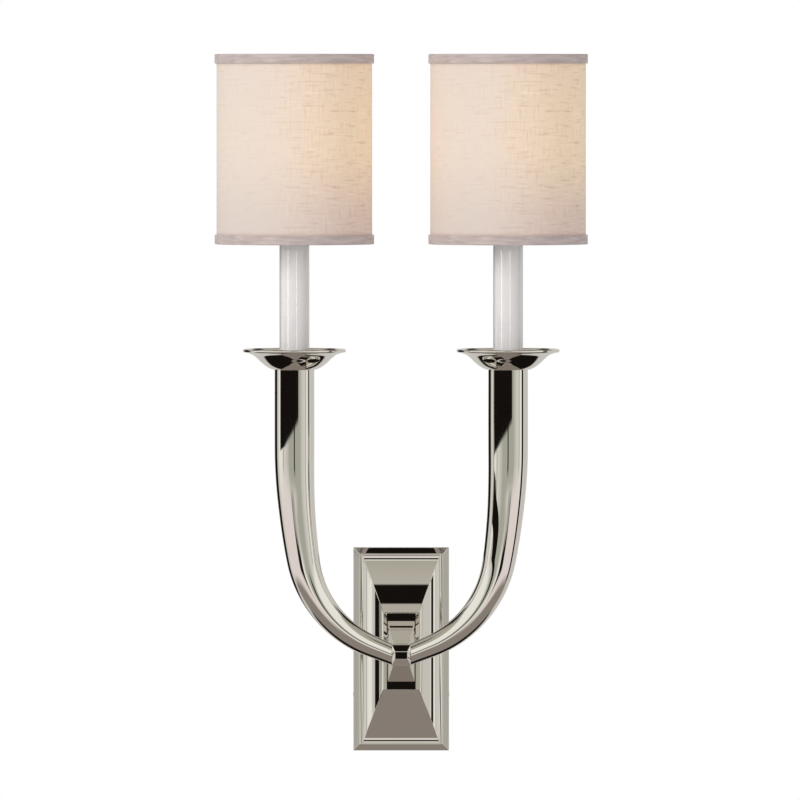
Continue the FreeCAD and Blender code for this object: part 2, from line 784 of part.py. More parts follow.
def bobeche(side):
    """Spun drip dish: flat foot, ogee bowl and a thick rim with its outer edges eased."""
    body = at_candle(new_body(f"{side}_bobeche"), side, "arm_top")
    lean_in = "bobeche_sheet * sin(bobeche_lean * 1deg)"
    lean_up = "bobeche_sheet * cos(bobeche_lean * 1deg)"
    foot = ("bobeche_foot_radius", "0")
    turn_point = ("bobeche_turn_radius", "bobeche_turn_height")
    lip = ("bobeche_radius - bobeche_rim_edge", "bobeche_height - bobeche_rim")
    inner_lip = ("bobeche_radius - bobeche_rim", "bobeche_height")
    inner_turn = (f"bobeche_turn_radius - {lean_in}", f"bobeche_turn_height + {lean_up}")
    inner_foot = (f"bobeche_foot_radius - {lean_in} / 2", "bobeche_sheet")
    turn(
        body,
        [
            ("pipe_hole", "0"),
            foot,
            *bow(foot, turn_point, "bobeche_bowl_bow", 3),
            turn_point,
            *bow(turn_point, lip, "-bobeche_lip_bow", 2),
            lip,
            ("bobeche_radius", "bobeche_height - bobeche_rim + bobeche_rim_edge"),
            ("bobeche_radius", "bobeche_height - bobeche_rim_edge"),
            ("bobeche_radius - bobeche_rim_edge", "bobeche_height"),
            inner_lip,
            *bow(inner_lip, inner_turn, "bobeche_lip_bow", 2),
            inner_turn,
            *bow(inner_turn, inner_foot, "-bobeche_bowl_bow", 3),
            inner_foot,
            ("pipe_hole", "bobeche_sheet"),
        ],
        "dish",
    )


def candle_nipple(side):
    """Threaded pipe from the arm's plug up through the dish and the socket holder."""
    body = at_candle(new_body(f"{side}_nipple"), side, "arm_top - arm_plug")
    turn(body, tube_corners("pipe_bore", "pipe_radius", "0", "nipple_height"), "pipe")


def nipple_nut(side):
    at_candle(hex_nut(f"{side}_nipple_nut"), side, "foot_top")


def socket_holder(side):
    """Steel strap bent twice: a foot under the nut, a leg inside the sleeve and a tab under the socket."""
    body = at_candle(new_body(f"{side}_socket_holder"), side, "dish_floor")
    foot = circle(sketch_on(body, "foot_outline", "XY"), "holder_foot_radius")
    pad(body, foot, "holder_steel", "foot")
    leg = rectangle(
        body, "leg_outline", "XY", "0", "holder_steel", "holder_leg_width",
        x="holder_leg_offset - holder_steel / 2",
    )
    pad(body, leg, "holder_height", "leg")
    tab = outline(
        sketch_on(body, "tab_outline", "XY", "holder_height - holder_steel"),
        box_corners(
            "-holder_tab_reach", "holder_leg_offset", "-holder_leg_width / 2", "holder_leg_width / 2"
        ),
    )
    pad(body, tab, "holder_steel", "tab")
    pocket(body, circle(sketch_on(body, "foot_hole_outline", "XY"), "pipe_hole"), "holder_steel", "foot_hole")


def candle_sleeve(side):
    """White tube that stands in the dish and hides the socket."""
    body = at_candle(new_body(f"{side}_candle_sleeve"), side, "dish_floor")
    turn(body, tube_corners("sleeve_radius - sleeve_wall", "sleeve_radius", "0", "sleeve_height"), "sleeve")


def socket_body(side):
    """Insulating cup on the holder's tab."""
    body = at_candle(new_body(f"{side}_socket_body"), side, "holder_top")
    turn(
        body,
        [
            ("0", "0"),
            ("socket_radius", "0"),
            ("socket_radius", "socket_height"),
            ("socket_bore", "socket_height"),
            ("socket_bore", "socket_floor"),
            ("0", "socket_floor"),
        ],
        "cup",
    )


def socket_shell(side):
    """Brass screw shell inside the cup."""
    body = at_candle(new_body(f"{side}_socket_shell"), side, "contact_base")
    turn(body, tube_corners("shell_radius - shell_wall", "shell_radius", "0", "shell_height"), "shell")


def socket_contact(side):
    """Centre contact on the cup's floor."""
    body = at_candle(new_body(f"{side}_socket_contact"), side, "contact_base")
    turn(body, box_corners("0", "contact_radius", "0", "contact_height"), "contact")


def lead_wires(side):
    """Two leads from the terminal block through the stem, the hub, the arm and the nipple to the socket."""
    sign = SIDES[side]
    knee_turn = math.radians(value("arm_upper_turn"))
    lower_turn = math.radians(value("arm_lower_turn"))
    slope = math.radians(value("arm_slope"))
    reach = value("arm_lower_radius") * math.tan(lower_turn / 2)
    low_x = value("bend_x") + reach * math.cos(slope)
    low_z = value("bend_z") + reach * math.sin(slope)
    high_z = value("upright_z") - value("arm_upper_radius") * math.tan(knee_turn / 2)
    candle_x = value("candle_x")
    pipe_top = value("arm_top - arm_plug + nipple_height")
    socket_x = sign * candle_x - value("lead_side_step")
    step_start = pipe_top + value("lead_step_start")
    step_end = pipe_top + value("lead_step_end")
    radii = [
        value("lead_bend"),
        value("lead_hub_bend"),
        value("arm_lower_radius - lead_slack"),
        value("arm_upper_radius - lead_slack"),
        value("lead_step_bend"),
        value("lead_step_bend"),
    ]
    offset = value("lead_offset")
    leads = []
    for lift in (1, -1):
        x, z = sign * offset, lift * offset
        start_y = -value("lead_depth") - (1 + lift) * offset
        arm_y = -value("arm_plane") - lift * offset
        points = [
            Vector(x, start_y, value("terminal_level - terminal_height / 2")),
            Vector(x, start_y, z),
            Vector(x, arm_y, z),
            Vector(sign * low_x, arm_y, low_z),
            Vector(sign * candle_x, arm_y, high_z),
            Vector(sign * candle_x, arm_y, step_start),
            Vector(socket_x, arm_y, step_end),
            Vector(socket_x, arm_y, value("holder_top")),
        ]
        leads.append(wire_along(points, radii, value("lead_radius")))
    free_shape(f"{side}_lead_wires", Part.makeCompound(leads))


# --- bulbs ----------------------------------------------------------------------------------------


def bulb_cap(side):
    """Screw cap with its contact tip."""
    body = at_candle(new_body(f"{side}_bulb_cap"), side, "bulb_base")
    cap_top = "bulb_tip_height + bulb_cap_height"
    turn(
        body,
        [
            ("0", "0"),
            ("bulb_tip_radius", "0"),
            ("bulb_tip_radius", "bulb_tip_height"),
            ("bulb_cap_radius", "bulb_tip_height + bulb_cap_taper"),
            ("bulb_cap_radius", cap_top),
            ("0", cap_top),
        ],
        "cap",
    )


def bulb_glass(side):
    """Thin torpedo shaped glass: a round belly, a straight flank and a round point."""
    body = at_candle(new_body(f"{side}_bulb_glass"), side, "glass_base")

    def on_ball(radius, centre, *angles):
        height = f"{centre} + ({radius})"
        return [(f"({radius}) * cos(({a}) * 1deg)", f"{height} * sin(({a}) * 1deg)") for a in angles]

    low, top = "-bulb_shoulder_angle", "flank_angle"
    turn(
        body,
        [
            ("bulb_neck_radius", "0"),
            *on_ball("bulb_radius", "bulb_widest", low, f"{low} / 2", "0", top),
            *on_ball("bulb_point_radius", "bulb_point", top, "55"),
            ("0", "bulb_height"),
            ("0", "bulb_height - 2 * bulb_wall"),
            *on_ball("bulb_radius - bulb_wall", "bulb_widest", top, "0", f"{low} / 2", low),
            ("bulb_neck_radius - bulb_wall", "0"),
        ],
        "glass",
    )


def bulb_filament(side):
    """Glass mount on the cap, with two straight filaments standing on it."""
    body = at_candle(new_body(f"{side}_bulb_filament"), side, "glass_base")
    turn(
        body,
        [
            ("0", "0"),
            ("mount_base_radius", "0"),
            ("mount_radius", "mount_height / 3"),
            ("mount_radius", "mount_height"),
            ("0", "mount_height"),
        ],
        "mount",
    )
    posts = sketch_on(body, "filament_outlines", "XY", "mount_height")
    for sign in SIDES.values():
        circle(posts, "filament_radius", x=f"{sign} * filament_pitch / 2")
    pad(body, posts, "filament_rise", "filaments")


def bulb_reach(height):
    """The glass's radius at a height above its base, on the belly or on the flank."""
    belly, widest = value("bulb_radius"), value("bulb_widest")
    flank = math.radians(value("flank_angle"))
    if height < widest + belly * math.sin(flank):
        return math.sqrt(belly**2 - (height - widest) ** 2)
    return (belly - (height - widest) * math.sin(flank)) / math.cos(flank)


# --- shades ---------------------------------------------------------------------------------------


def shade_clip(side):
    """Spring wire clip: two looped fingers that hug the bulb, under a round plate."""
    wire = value("clip_wire")
    clear = value("clip_gap") + wire
    plate_bottom = value("bulb_height + clip_lift")
    half_width = value("clip_finger_width") / 2
    root_x = math.sqrt((value("clip_plate_radius") - 2 * wire) ** 2 - half_width**2)
    knee_z = plate_bottom - value("clip_knee_drop")
    knee_x = math.sqrt((bulb_reach(knee_z) + clear) ** 2 - half_width**2) + value("clip_knee_slack")
    grip_z = plate_bottom - value("clip_grip_drop")
    grip_x = bulb_reach(grip_z) + clear
    plate = Part.makeCylinder(
        value("clip_plate_radius"), value("clip_plate_height"), Vector(0, 0, plate_bottom)
    )
    fingers = []
    for sign in SIDES.values():
        half = [
            Vector(sign * root_x, half_width, plate_bottom + wire / 2),
            Vector(sign * knee_x, half_width, knee_z),
            Vector(sign * grip_x, half_width, grip_z),
        ]
        other_half = [Vector(p.x, -p.y, p.z) for p in reversed(half)]
        bends = [value("clip_knee_radius"), value("clip_corner")]
        fingers.append(wire_along(half + other_half, bends + bends[::-1], wire))
    place = Vector(SIDES[side] * value("candle_x"), -value("arm_plane"), value("glass_base"))
    shape = plate.fuse(fingers).removeSplitter()
    free_shape(f"{side}_shade_clip", shape.Solids[0], FreeCAD.Placement(place, FreeCAD.Rotation()))


def clip_rivet(side):
    """Headed pin on the clip's plate that the shade's hub turns on."""
    body = at_candle(new_body(f"{side}_clip_rivet"), side, "clip_front")
    under_head = "spider_hub_height + 2 * swivel_fit"
    turn(
        body,
        [
            ("0", "0"),
            ("rivet_radius", "0"),
            ("rivet_radius", under_head),
            ("rivet_head_radius", under_head),
            ("rivet_head_radius", f"{under_head} + rivet_head_height"),
            ("0", f"{under_head} + rivet_head_height"),
        ],
        "rivet",
    )


HOOP_SIDES = 6


def hoop(body, height):
    """A wire hoop with a six sided section, just inside the drum."""
    corners = []
    for number in range(HOOP_SIDES):
        angle = f"{360 * number / HOOP_SIDES} * 1deg"
        corners.append((f"ring_radius + ring_wire * cos({angle})", f"{height} + ring_wire * sin({angle})"))
    turn(body, corners, "ring")


def shade_spider(side):
    """Top ring, three spokes that slope down, and the recessed hub that carries the shade."""
    body = at_candle(new_body(f"{side}_shade_spider"), side, "spider_hub")
    hub = sketch_on(body, "hub_outline", "XY")
    circle(hub, "spider_hub_radius")
    circle(hub, "rivet_radius + swivel_fit")
    pad(body, hub, "spider_hub_height", "hub")
    ring_z = "shade_top - ring_inset - spider_hub"
    root_x, root_z = "(spider_hub_radius - spider_root)", "spider_hub_height / 2"
    half = "spider_wire"
    spoke_outline = outline(
        sketch_on(body, "spoke_outline", "XZ"),
        [
            (root_x, f"{root_z} - {half} / 2"),
            (f"{root_x} + spider_root", f"{root_z} - {half}"),
            ("ring_radius", f"{ring_z} - {half}"),
            ("ring_radius", f"{ring_z} + {half}"),
            (f"{root_x} + spider_root", f"{root_z} + {half}"),
            (root_x, f"{root_z} + {half} / 2"),
        ],
    )
    spoke = feature(body, "Pad", "spoke", Profile=spoke_outline, Midplane=True)
    bind(spoke, Length="2 * spider_wire")
    spokes = body.newObject("PartDesign::PolarPattern", "spokes")
    spokes.Originals = [spoke]
    spokes.Axis = (hub, ["N_Axis"])
    spokes.Angle = 360.0
    spokes.Occurrences = 3
    body.Tip = spokes
    hoop(body, ring_z)


def shade_bottom_ring(side):
    """Wire hoop inside the lower edge."""
    hoop(at_candle(new_body(f"{side}_shade_bottom_ring"), side, "shade_level"), "ring_inset")


def shade_drum(side):
    """Stiff cylinder of linen on its liner, between the trims."""
    body = at_candle(new_body(f"{side}_shade_drum"), side, "shade_level")
    edge_gap = "(trim_fold + trim_fit)"
    turn(body, tube_corners("shade_bore", "shade_radius", edge_gap, f"shade_height - {edge_gap}"), "drum")


def shade_trim(side, end):
    """Tape folded over one edge of the drum."""
    level, sign = ("shade_level", 1) if end == "bottom" else ("shade_top", -1)
    body = at_candle(new_body(f"{side}_shade_{end}_trim"), side, level)
    outer = "shade_radius + trim_fit"
    profile = [
        ("shade_bore", "0"),
        (f"{outer} + trim_thick", "0"),
        (f"{outer} + trim_thick", "trim_height"),
        (outer, "trim_height"),
        (outer, "trim_fold"),
        ("shade_bore", "trim_fold"),
    ]
    turn(body, [(radius, f"{sign} * ({height})") for radius, height in profile], "tape")


# --- build, check and write -----------------------------------------------------------------------

for make in (
    mounting_bracket,
    side_screws,
    earth_screw,
    terminal_block,
    backplate,
    neck,
    hub_block,
    stem_tube,
    stem_washer,
    stem_nut,
):
    make()

for side_name in SIDES:
    for make in (
        arm,
        bobeche,
        candle_nipple,
        nipple_nut,
        socket_holder,
        candle_sleeve,
        socket_body,
        socket_shell,
        socket_contact,
        lead_wires,
        bulb_cap,
        bulb_glass,
        bulb_filament,
        shade_clip,
        clip_rivet,
        shade_spider,
        shade_bottom_ring,
        shade_drum,
    ):
        make(side_name)
    for end_name in ("bottom", "top"):
        shade_trim(side_name, end_name)

doc.recompute()

for thing in doc.Objects:
    bad = {"Invalid", "Error"} & set(thing.State)
    assert not bad, f"{thing.Name} did not build: {thing.State}"
    if thing.TypeId.startswith(("PartDesign::Pocket", "PartDesign::Subtractive")):
        removed = thing.BaseFeature.Shape.Volume - thing.Shape.Volume
        assert removed > 1e-3, f"{thing.Name} cuts nothing"

os.makedirs("parts", exist_ok=True)
for piece in finished:
    shape = piece.Shape
    assert not shape.isNull() and shape.isValid() and shape.Solids, f"{piece.Label} is not a sound solid"
    shape.exportStep(f"parts/{piece.Label}.step")
    box = shape.BoundBox
    print(
        f"{piece.Label:26s} solids {len(shape.Solids)} volume {shape.Volume:10.1f}"
        f"  x {box.XMin:7.1f} {box.XMax:7.1f}  y {box.YMin:7.1f} {box.YMax:7.1f}"
        f"  z {box.ZMin:7.1f} {box.ZMax:7.1f}"
    )
print(len(finished), "sub-parts")
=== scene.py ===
# %% [markdown]
# # A double arm wall sconce, dressed in Blender
#
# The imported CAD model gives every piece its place. This notebook keeps the hidden hardware as it comes
# and gives each piece that shows a finer mesh and a finish: polished nickel, a glossy candle sleeve,
# and drum shades of slub linen with a folded tape round each edge.

# %% Load the frame
import json
import math

import bmesh
import bpy
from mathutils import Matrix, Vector


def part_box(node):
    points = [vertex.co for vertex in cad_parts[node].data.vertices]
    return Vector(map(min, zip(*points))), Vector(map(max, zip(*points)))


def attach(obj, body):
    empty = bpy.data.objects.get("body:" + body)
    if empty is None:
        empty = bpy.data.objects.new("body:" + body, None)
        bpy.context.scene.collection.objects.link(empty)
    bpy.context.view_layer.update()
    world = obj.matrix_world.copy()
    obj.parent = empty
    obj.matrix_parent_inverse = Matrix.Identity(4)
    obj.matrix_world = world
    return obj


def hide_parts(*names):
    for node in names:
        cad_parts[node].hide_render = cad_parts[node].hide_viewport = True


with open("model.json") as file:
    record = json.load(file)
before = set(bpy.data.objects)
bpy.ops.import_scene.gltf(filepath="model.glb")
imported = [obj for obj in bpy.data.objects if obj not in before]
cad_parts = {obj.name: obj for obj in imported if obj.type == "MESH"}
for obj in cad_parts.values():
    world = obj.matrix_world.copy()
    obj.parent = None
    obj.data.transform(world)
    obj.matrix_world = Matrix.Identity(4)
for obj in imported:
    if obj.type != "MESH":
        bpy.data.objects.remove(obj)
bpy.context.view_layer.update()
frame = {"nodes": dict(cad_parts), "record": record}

MM = 0.001

# %% [markdown]
# ## Where things are
#
# The sconce is the same on both sides, so one candle axis, mirrored, places everything above the arms.
# The axis and the levels come from the CAD nodes' own boxes, so a change of the frame moves the looks too.

# %% Places read from the frame
SIDES = {"left": -1, "right": 1}


def middle(name):
    low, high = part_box(name)
    return (Vector(low) + Vector(high)) / 2


def span(name, axis):
    low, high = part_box(name)
    return low[axis], high[axis]


def half_width(name):
    low, high = span(name, 0)
    return (high - low) / 2


CANDLE_X = middle("right_candle_sleeve").x
ARM_Y = middle("right_candle_sleeve").y
ARM_TOP = span("right_arm", 2)[1]
HUB_SIDE = span("hub_block", 0)[1]
SHADE_LOW, SHADE_HIGH = span("right_shade_bottom_trim", 2)[0], span("right_shade_top_trim", 2)[1]
DRUM_LOW, DRUM_HIGH = span("right_shade_drum", 2)
DRUM_RADIUS = half_width("right_shade_drum")
print("candle axes at X", round(CANDLE_X / MM, 1), "arms' plane at Y", round(ARM_Y / MM, 1))

# %% [markdown]
# ## The camera
#
# A catalogue picture of a wall light is taken from far away with a long lens, a little above the hub.
# The lens follows from the size that one pixel has in the plane of the arms.

# %% Camera
PICTURE_WIDTH = 800
MM_PER_PIXEL = 0.735
SENSOR_WIDTH = 36.0
CLIP_NEAR, CLIP_FAR = 1.0, 60.0
CAMERA_DISTANCE = 8.0
CAMERA_LEVEL = 420.0 * MM
AIM = Vector((-0.9 * MM, ARM_Y, 187.5 * MM))
CAMERA_ELEVATION = math.asin((CAMERA_LEVEL - AIM.z) / CAMERA_DISTANCE)

camera_data = bpy.data.cameras.new("camera")
camera = bpy.data.objects.new("camera", camera_data)
bpy.context.scene.collection.objects.link(camera)
camera_data.sensor_width = SENSOR_WIDTH
camera_data.lens = SENSOR_WIDTH * CAMERA_DISTANCE / (PICTURE_WIDTH * MM_PER_PIXEL * MM)
camera_data.clip_start, camera_data.clip_end = CLIP_NEAR, CLIP_FAR
away = Vector((0, -math.cos(CAMERA_ELEVATION), math.sin(CAMERA_ELEVATION)))
camera.location = AIM + away * CAMERA_DISTANCE
camera.rotation_euler = (math.pi / 2 - CAMERA_ELEVATION, 0, 0)
bpy.context.scene.camera = camera
print("lens", round(camera_data.lens), "mm")

# %% [markdown]
# ## The studio
#
# Polished metal has no colour of its own to speak of: what shows is the room. The world is a plain white
# sheet to the camera, an even grey to cloth and plastic, and to mirrors a small studio: a dark card
# in front at the left, a beige front wall, a black strip of ceiling and a grey-brown table top below.
#
# ### Helpers for node trees
#
# The world, the materials and the wires are all node trees. One helper makes a node, sets its options and
# fills its inputs with either a plain value or a link, which keeps each tree as short as a formula.

# %% Nodes and sums
def node(tree, kind, settings=None, inputs=None):
    made = tree.nodes.new(kind)
    for name, content in (settings or {}).items():
        setattr(made, name, content)
    for name, content in (inputs or {}).items():
        if isinstance(content, bpy.types.NodeSocket):
            tree.links.new(content, made.inputs[name])
        else:
            made.inputs[name].default_value = content
    return made


def maths(tree, operation, first, second=None, third=None):
    terms = {i: term for i, term in enumerate((first, second, third)) if term is not None}
    return node(tree, "ShaderNodeMath", {"operation": operation}, terms).outputs[0]


def map_range(tree, place, low, high, start, end, smooth=False):
    """Takes place from the range low to high to the range start to end, and holds it there."""
    settings = {"interpolation_type": "SMOOTHSTEP"} if smooth else None
    inputs = {0: place, 1: low, 2: high, 3: start, 4: end}
    return node(tree, "ShaderNodeMapRange", settings, inputs).outputs[0]


print("helpers:", node.__name__, maths.__name__, map_range.__name__)

# %% [markdown]
# ### Helpers for colours
#
# A ramp turns one number into a band of colours, and a mix lays one colour over another through a mask.
# The room is drawn with angles, so its ramps and masks are given in degrees.

# %% Ramps, mixes and masks
def ramp(tree, factor, stops, interpolation="LINEAR"):
    """A colour ramp from (position, (red, green, blue)) stops."""
    made = node(tree, "ShaderNodeValToRGB", None, {0: factor})
    made.color_ramp.interpolation = interpolation
    elements = made.color_ramp.elements
    while len(elements) < len(stops):
        elements.new(1.0)
    for element, (position, colour) in zip(elements, stops):
        element.position = position
        element.color = (*colour, 1)
    return made.outputs[0]


def mix(tree, factor, first, second, blend="MIX"):
    made = node(tree, "ShaderNodeMix", {"data_type": "RGBA", "blend_type": blend}, {0: factor})
    for socket, content in ((made.inputs[6], first), (made.inputs[7], second)):
        if isinstance(content, bpy.types.NodeSocket):
            tree.links.new(content, socket)
        else:
            socket.default_value = (*content, 1)
    return made.outputs[2]


def by_degrees(tree, angle, low, high, stops):
    """A colour ramp whose stops are given in degrees; the angle socket is in degrees too."""
    share = map_range(tree, angle, low, high, 0.0, 1.0)
    return ramp(tree, share, [((degrees - low) / (high - low), colour) for degrees, colour in stops])


def between(tree, angle, low, high, soft):
    """1 between two angles and 0 outside them, with soft edges centred on them."""
    rise = map_range(tree, angle, low - soft / 2, low + soft / 2, 0.0, 1.0)
    fall = map_range(tree, angle, high - soft / 2, high + soft / 2, 1.0, 0.0)
    return maths(tree, "MULTIPLY", rise, fall)


print("helpers:", ramp.__name__, mix.__name__, by_degrees.__name__, between.__name__)

# %% [markdown]
# ### Directions as two angles
#
# A studio is easiest to plan as seen from the object: how far round, and how high. So the world's
# direction is turned into those two angles. Straight ahead, towards the camera, is 0 degrees round.

# %% World and its angles
world = bpy.data.worlds.new("studio")
bpy.context.scene.world = world
world.use_nodes = True
sky = world.node_tree
sky.nodes.clear()
direction = node(sky, "ShaderNodeTexCoord").outputs["Generated"]
parts = node(sky, "ShaderNodeSeparateXYZ", None, {0: direction}).outputs
height = maths(sky, "DEGREES", maths(sky, "ARCSINE", parts["Z"]))
ahead_part = maths(sky, "MULTIPLY", parts["Y"], -1.0)
turn = maths(sky, "DEGREES", maths(sky, "ARCTAN2", parts["X"], ahead_part))
aside = maths(sky, "ABSOLUTE", turn)
print("nodes for the two angles:", len(sky.nodes))

# %% [markdown]
# ### The bands of the room
#
# Each wall is a stack of bands: table top, its bright edge, a lit sheet, wall and dark ceiling. There is
# one stack straight ahead, one at the sides and one behind. The sheet at the sides is dimmer near the
# camera, which gives the round arms their grey core.

# %% Bands of the room
TABLE_BROWN = (0.270, 0.240, 0.215)
TABLE_EDGE = (0.80, 0.74, 0.72)
SHEET_WHITE = (0.90, 0.90, 0.86)
WALL_BEIGE = (0.44, 0.42, 0.355)
WALL_PALE = (0.52, 0.50, 0.45)
BACK_GREY = (0.62, 0.61, 0.58)
CEILING_LIGHT = (0.48, 0.46, 0.41)
CARD_BLACK = (0.008, 0.006, 0.005)
SHEET_DIMMING = [
    (0, (0.58, 0.58, 0.56)), (38, (0.62, 0.62, 0.60)), (60, (0.78, 0.78, 0.76)), (84, (0.98, 0.98, 0.96))]

straight_ahead = by_degrees(sky, height, -90, 90, [
    (-18, TABLE_BROWN), (-14, TABLE_EDGE), (-8, SHEET_WHITE), (6, SHEET_WHITE), (12, WALL_BEIGE),
    (54, WALL_PALE), (57, CARD_BLACK)])
at_the_sides = by_degrees(sky, height, -90, 90, [
    (-26, TABLE_BROWN), (-20, TABLE_EDGE), (-10, TABLE_EDGE), (-4, SHEET_WHITE), (36, SHEET_WHITE),
    (40, WALL_BEIGE), (56, WALL_BEIGE), (60, CARD_BLACK)])
behind = by_degrees(sky, height, -90, 90, [
    (-54, TABLE_BROWN), (-46, BACK_GREY), (29, BACK_GREY),
    (33, CARD_BLACK), (44, CARD_BLACK), (48, WALL_BEIGE), (60, CEILING_LIGHT), (86, CEILING_LIGHT),
    (89, CARD_BLACK)])
dimmed = mix(sky, 1.0, at_the_sides, by_degrees(sky, aside, 0, 90, SHEET_DIMMING), "MULTIPLY")
at_the_sides = mix(sky, between(sky, height, -7, 7, 5), at_the_sides, dimmed)
mirror_room = mix(sky, between(sky, turn, -9, 9, 3), at_the_sides, straight_ahead)
mirror_room = mix(sky, between(sky, turn, -104, 104, 8), behind, mirror_room)
print("nodes with the bands:", len(sky.nodes))

# %% [markdown]
# ### Dark shapes and small panels
#
# Black lines and windows are what makes nickel look like nickel. Each is a window: a range of turns and
# a range of heights. The card at the left is tilted a little, so that the black on the arms ends in a
# slant. A green-grey panel fills the middle of the sheet and a grey frame stands where the plate looks.

# %% Windows in the room
GAP_GREEN = (0.42, 0.43, 0.37)
FRAME_GREY = (0.45, 0.435, 0.40)
CARD_TILT = 0.0075
tilted = maths(sky, "MULTIPLY_ADD", turn, -CARD_TILT, height)
# each window: (angle read, from, to, softness), then (height read, from, to, softness)
GREEN_PANEL = ((turn, -34, 36, 10), (height, -7, 5, 3))
GREY_FRAME = ((aside, 64.5, 70.5, 1), (height, -6, 4, 2))
DARK_WINDOWS = {
    "strip at the right": ((turn, 86, 100, 3), (height, -24, 24, 4)),
    "strip far left": ((turn, -156, -119, 3), (height, -24, 24, 4)),
    "card at the left": ((turn, -90, 24, 5), (tilted, -1.9, 1.8, 0.15)),
    "lens": ((turn, -3, 3, 1), (height, -5.0, -1.5, 0.5)),
    "table edge": ((aside, 9, 28, 3), (height, -14, -8, 2)),
    "under the table": ((aside, 100, 175, 4), (height, -86, -38, 4)),
}


def window(across, upward):
    return maths(sky, "MULTIPLY", between(sky, *across), between(sky, *upward))


dark = 0.0
for ranges in DARK_WINDOWS.values():
    dark = maths(sky, "MAXIMUM", window(*ranges), dark)
mirror_room = mix(sky, window(*GREEN_PANEL), mirror_room, GAP_GREEN)
mirror_room = mix(sky, window(*GREY_FRAME), mirror_room, FRAME_GREY)
mirror_room = mix(sky, dark, mirror_room, CARD_BLACK)
print("dark windows:", ", ".join(DARK_WINDOWS))

# %% [markdown]
# ### What each kind of ray sees
#
# Light Path tells the rays apart: mirrors get the room, the camera and clear glass get plain white, and
# every other ray gets an even grey, which lights the cloth from all round.

# %% Rays
AMBIENT = (0.56, 0.56, 0.56)
PLAIN_WHITE = (1, 1, 1)
rays = node(sky, "ShaderNodeLightPath").outputs
seen = mix(sky, rays["Is Glossy Ray"], AMBIENT, mirror_room)
straight = maths(sky, "MAXIMUM", rays["Is Camera Ray"], rays["Is Transmission Ray"])
seen = mix(sky, straight, seen, PLAIN_WHITE)
background = node(sky, "ShaderNodeBackground", None, {"Color": seen, "Strength": 1.0})
node(sky, "ShaderNodeOutputWorld", None, {"Surface": background.outputs[0]})
print("nodes in the world:", len(sky.nodes))

# %% [markdown]
# ### The floor
#
# A wall light hangs, so the floor lies well below it and only keeps a soft shadow. It fades out towards
# its rim and can't be seen from underneath, so views from below still show the lamp.

# %% Floor
FLOOR_LEVEL = -1.2
FLOOR_HALF = 2.5
FLOOR_CLEAR = 1.3
FLOOR_WHITE = (0.86, 0.86, 0.85, 1)


def principled(name, **sockets):
    """A new material with one Principled shader; returns the material, its tree and the shader."""
    material = bpy.data.materials.new(name)
    material.use_nodes = True
    shader = material.node_tree.nodes["Principled BSDF"]
    for socket, content in sockets.items():
        shader.inputs[socket.replace("_", " ")].default_value = content
    return material, material.node_tree, shader


def fading_floor():
    material, tree, shader = principled("pale_floor", Base_Color=FLOOR_WHITE, Roughness=0.9)
    place = node(tree, "ShaderNodeTexCoord").outputs["Object"]
    length = node(tree, "ShaderNodeVectorMath", {"operation": "LENGTH"}, {0: place})
    fade = map_range(tree, length.outputs["Value"], FLOOR_CLEAR, FLOOR_HALF, 0.0, 1.0, smooth=True)
    below = node(tree, "ShaderNodeNewGeometry").outputs["Backfacing"]
    see_through = node(tree, "ShaderNodeBsdfTransparent").outputs[0]
    look = node(tree, "ShaderNodeMixShader", None, {
        0: maths(tree, "MAXIMUM", fade, below), 1: shader.outputs[0], 2: see_through})
    tree.links.new(look.outputs[0], tree.nodes["Material Output"].inputs["Surface"])
    return material


floor_mesh = bpy.data.meshes.new("floor")
floor_corners = [(x * FLOOR_HALF, y * FLOOR_HALF, 0) for x, y in ((-1, -1), (1, -1), (1, 1), (-1, 1))]
floor_mesh.from_pydata(floor_corners, [], [(0, 1, 2, 3)])
floor_mesh.materials.append(fading_floor())
floor = bpy.data.objects.new("floor", floor_mesh)
floor.location.z = FLOOR_LEVEL
bpy.context.scene.collection.objects.link(floor)
floor.visible_glossy = False
print("floor at", FLOOR_LEVEL, "m")

# %% [markdown]
# ### The lamps
#
# Two soft square lamps light the cloth: a strong one at the left and a weak, rosy one at the right.
# Mirrors don't show them, because the room that mirrors see is already drawn.

# %% Lamps
LIT_SPOT = (0, ARM_Y, 0.25)
LAMP_SIZE = 1.6
LAMPS = {
    # name: (place, power, colour)
    "key_left": ((-2.6, -2.4, 1.3), 56.0, (1.0, 0.98, 0.96)),
    "fill_right": ((2.6, -2.6, 0.6), 15.0, (1.0, 0.95, 0.94)),
}


def lamp(name, place, size, power, colour=PLAIN_WHITE):
    """A square soft light, aimed at the shades, that mirrors don't show."""
    data = bpy.data.lights.new(name, "AREA")
    data.shape, data.size, data.energy, data.color = "SQUARE", size, power, colour
    made = bpy.data.objects.new(name, data)
    bpy.context.scene.collection.objects.link(made)
    made.location = place
    made.rotation_euler = (Vector(place) - Vector(LIT_SPOT)).to_track_quat("Z", "Y").to_euler()
    made.visible_glossy = False
    return made


for name, (place, power, colour) in LAMPS.items():
    lamp(name, place, LAMP_SIZE, power, colour)
    print(name, power, "W")

# %% [markdown]
# ## Finishes
#
# Effects that more than one finish shares are node groups: faint wiping marks on polished metal, and the
# slubs of linen. Each group gives only masks; the Principled shader stays in the material. Patterns read
# Object coordinates, which stay with the piece when it moves, and cloth reads its own map.

# %% Helpers for finishes
def new_group(name, inputs, outputs):
    group = bpy.data.node_groups.new(name, "ShaderNodeTree")
    for socket, kind, start in inputs:
        made = group.interface.new_socket(socket, in_out="INPUT", socket_type=f"NodeSocket{kind}")
        if start is not None:
            made.default_value = start
    for socket, kind in outputs:
        group.interface.new_socket(socket, in_out="OUTPUT", socket_type=f"NodeSocket{kind}")
    return group, node(group, "NodeGroupInput").outputs, node(group, "NodeGroupOutput").inputs


def use_group(tree, group, inputs):
    return node(tree, "ShaderNodeGroup", {"node_tree": group}, inputs).outputs


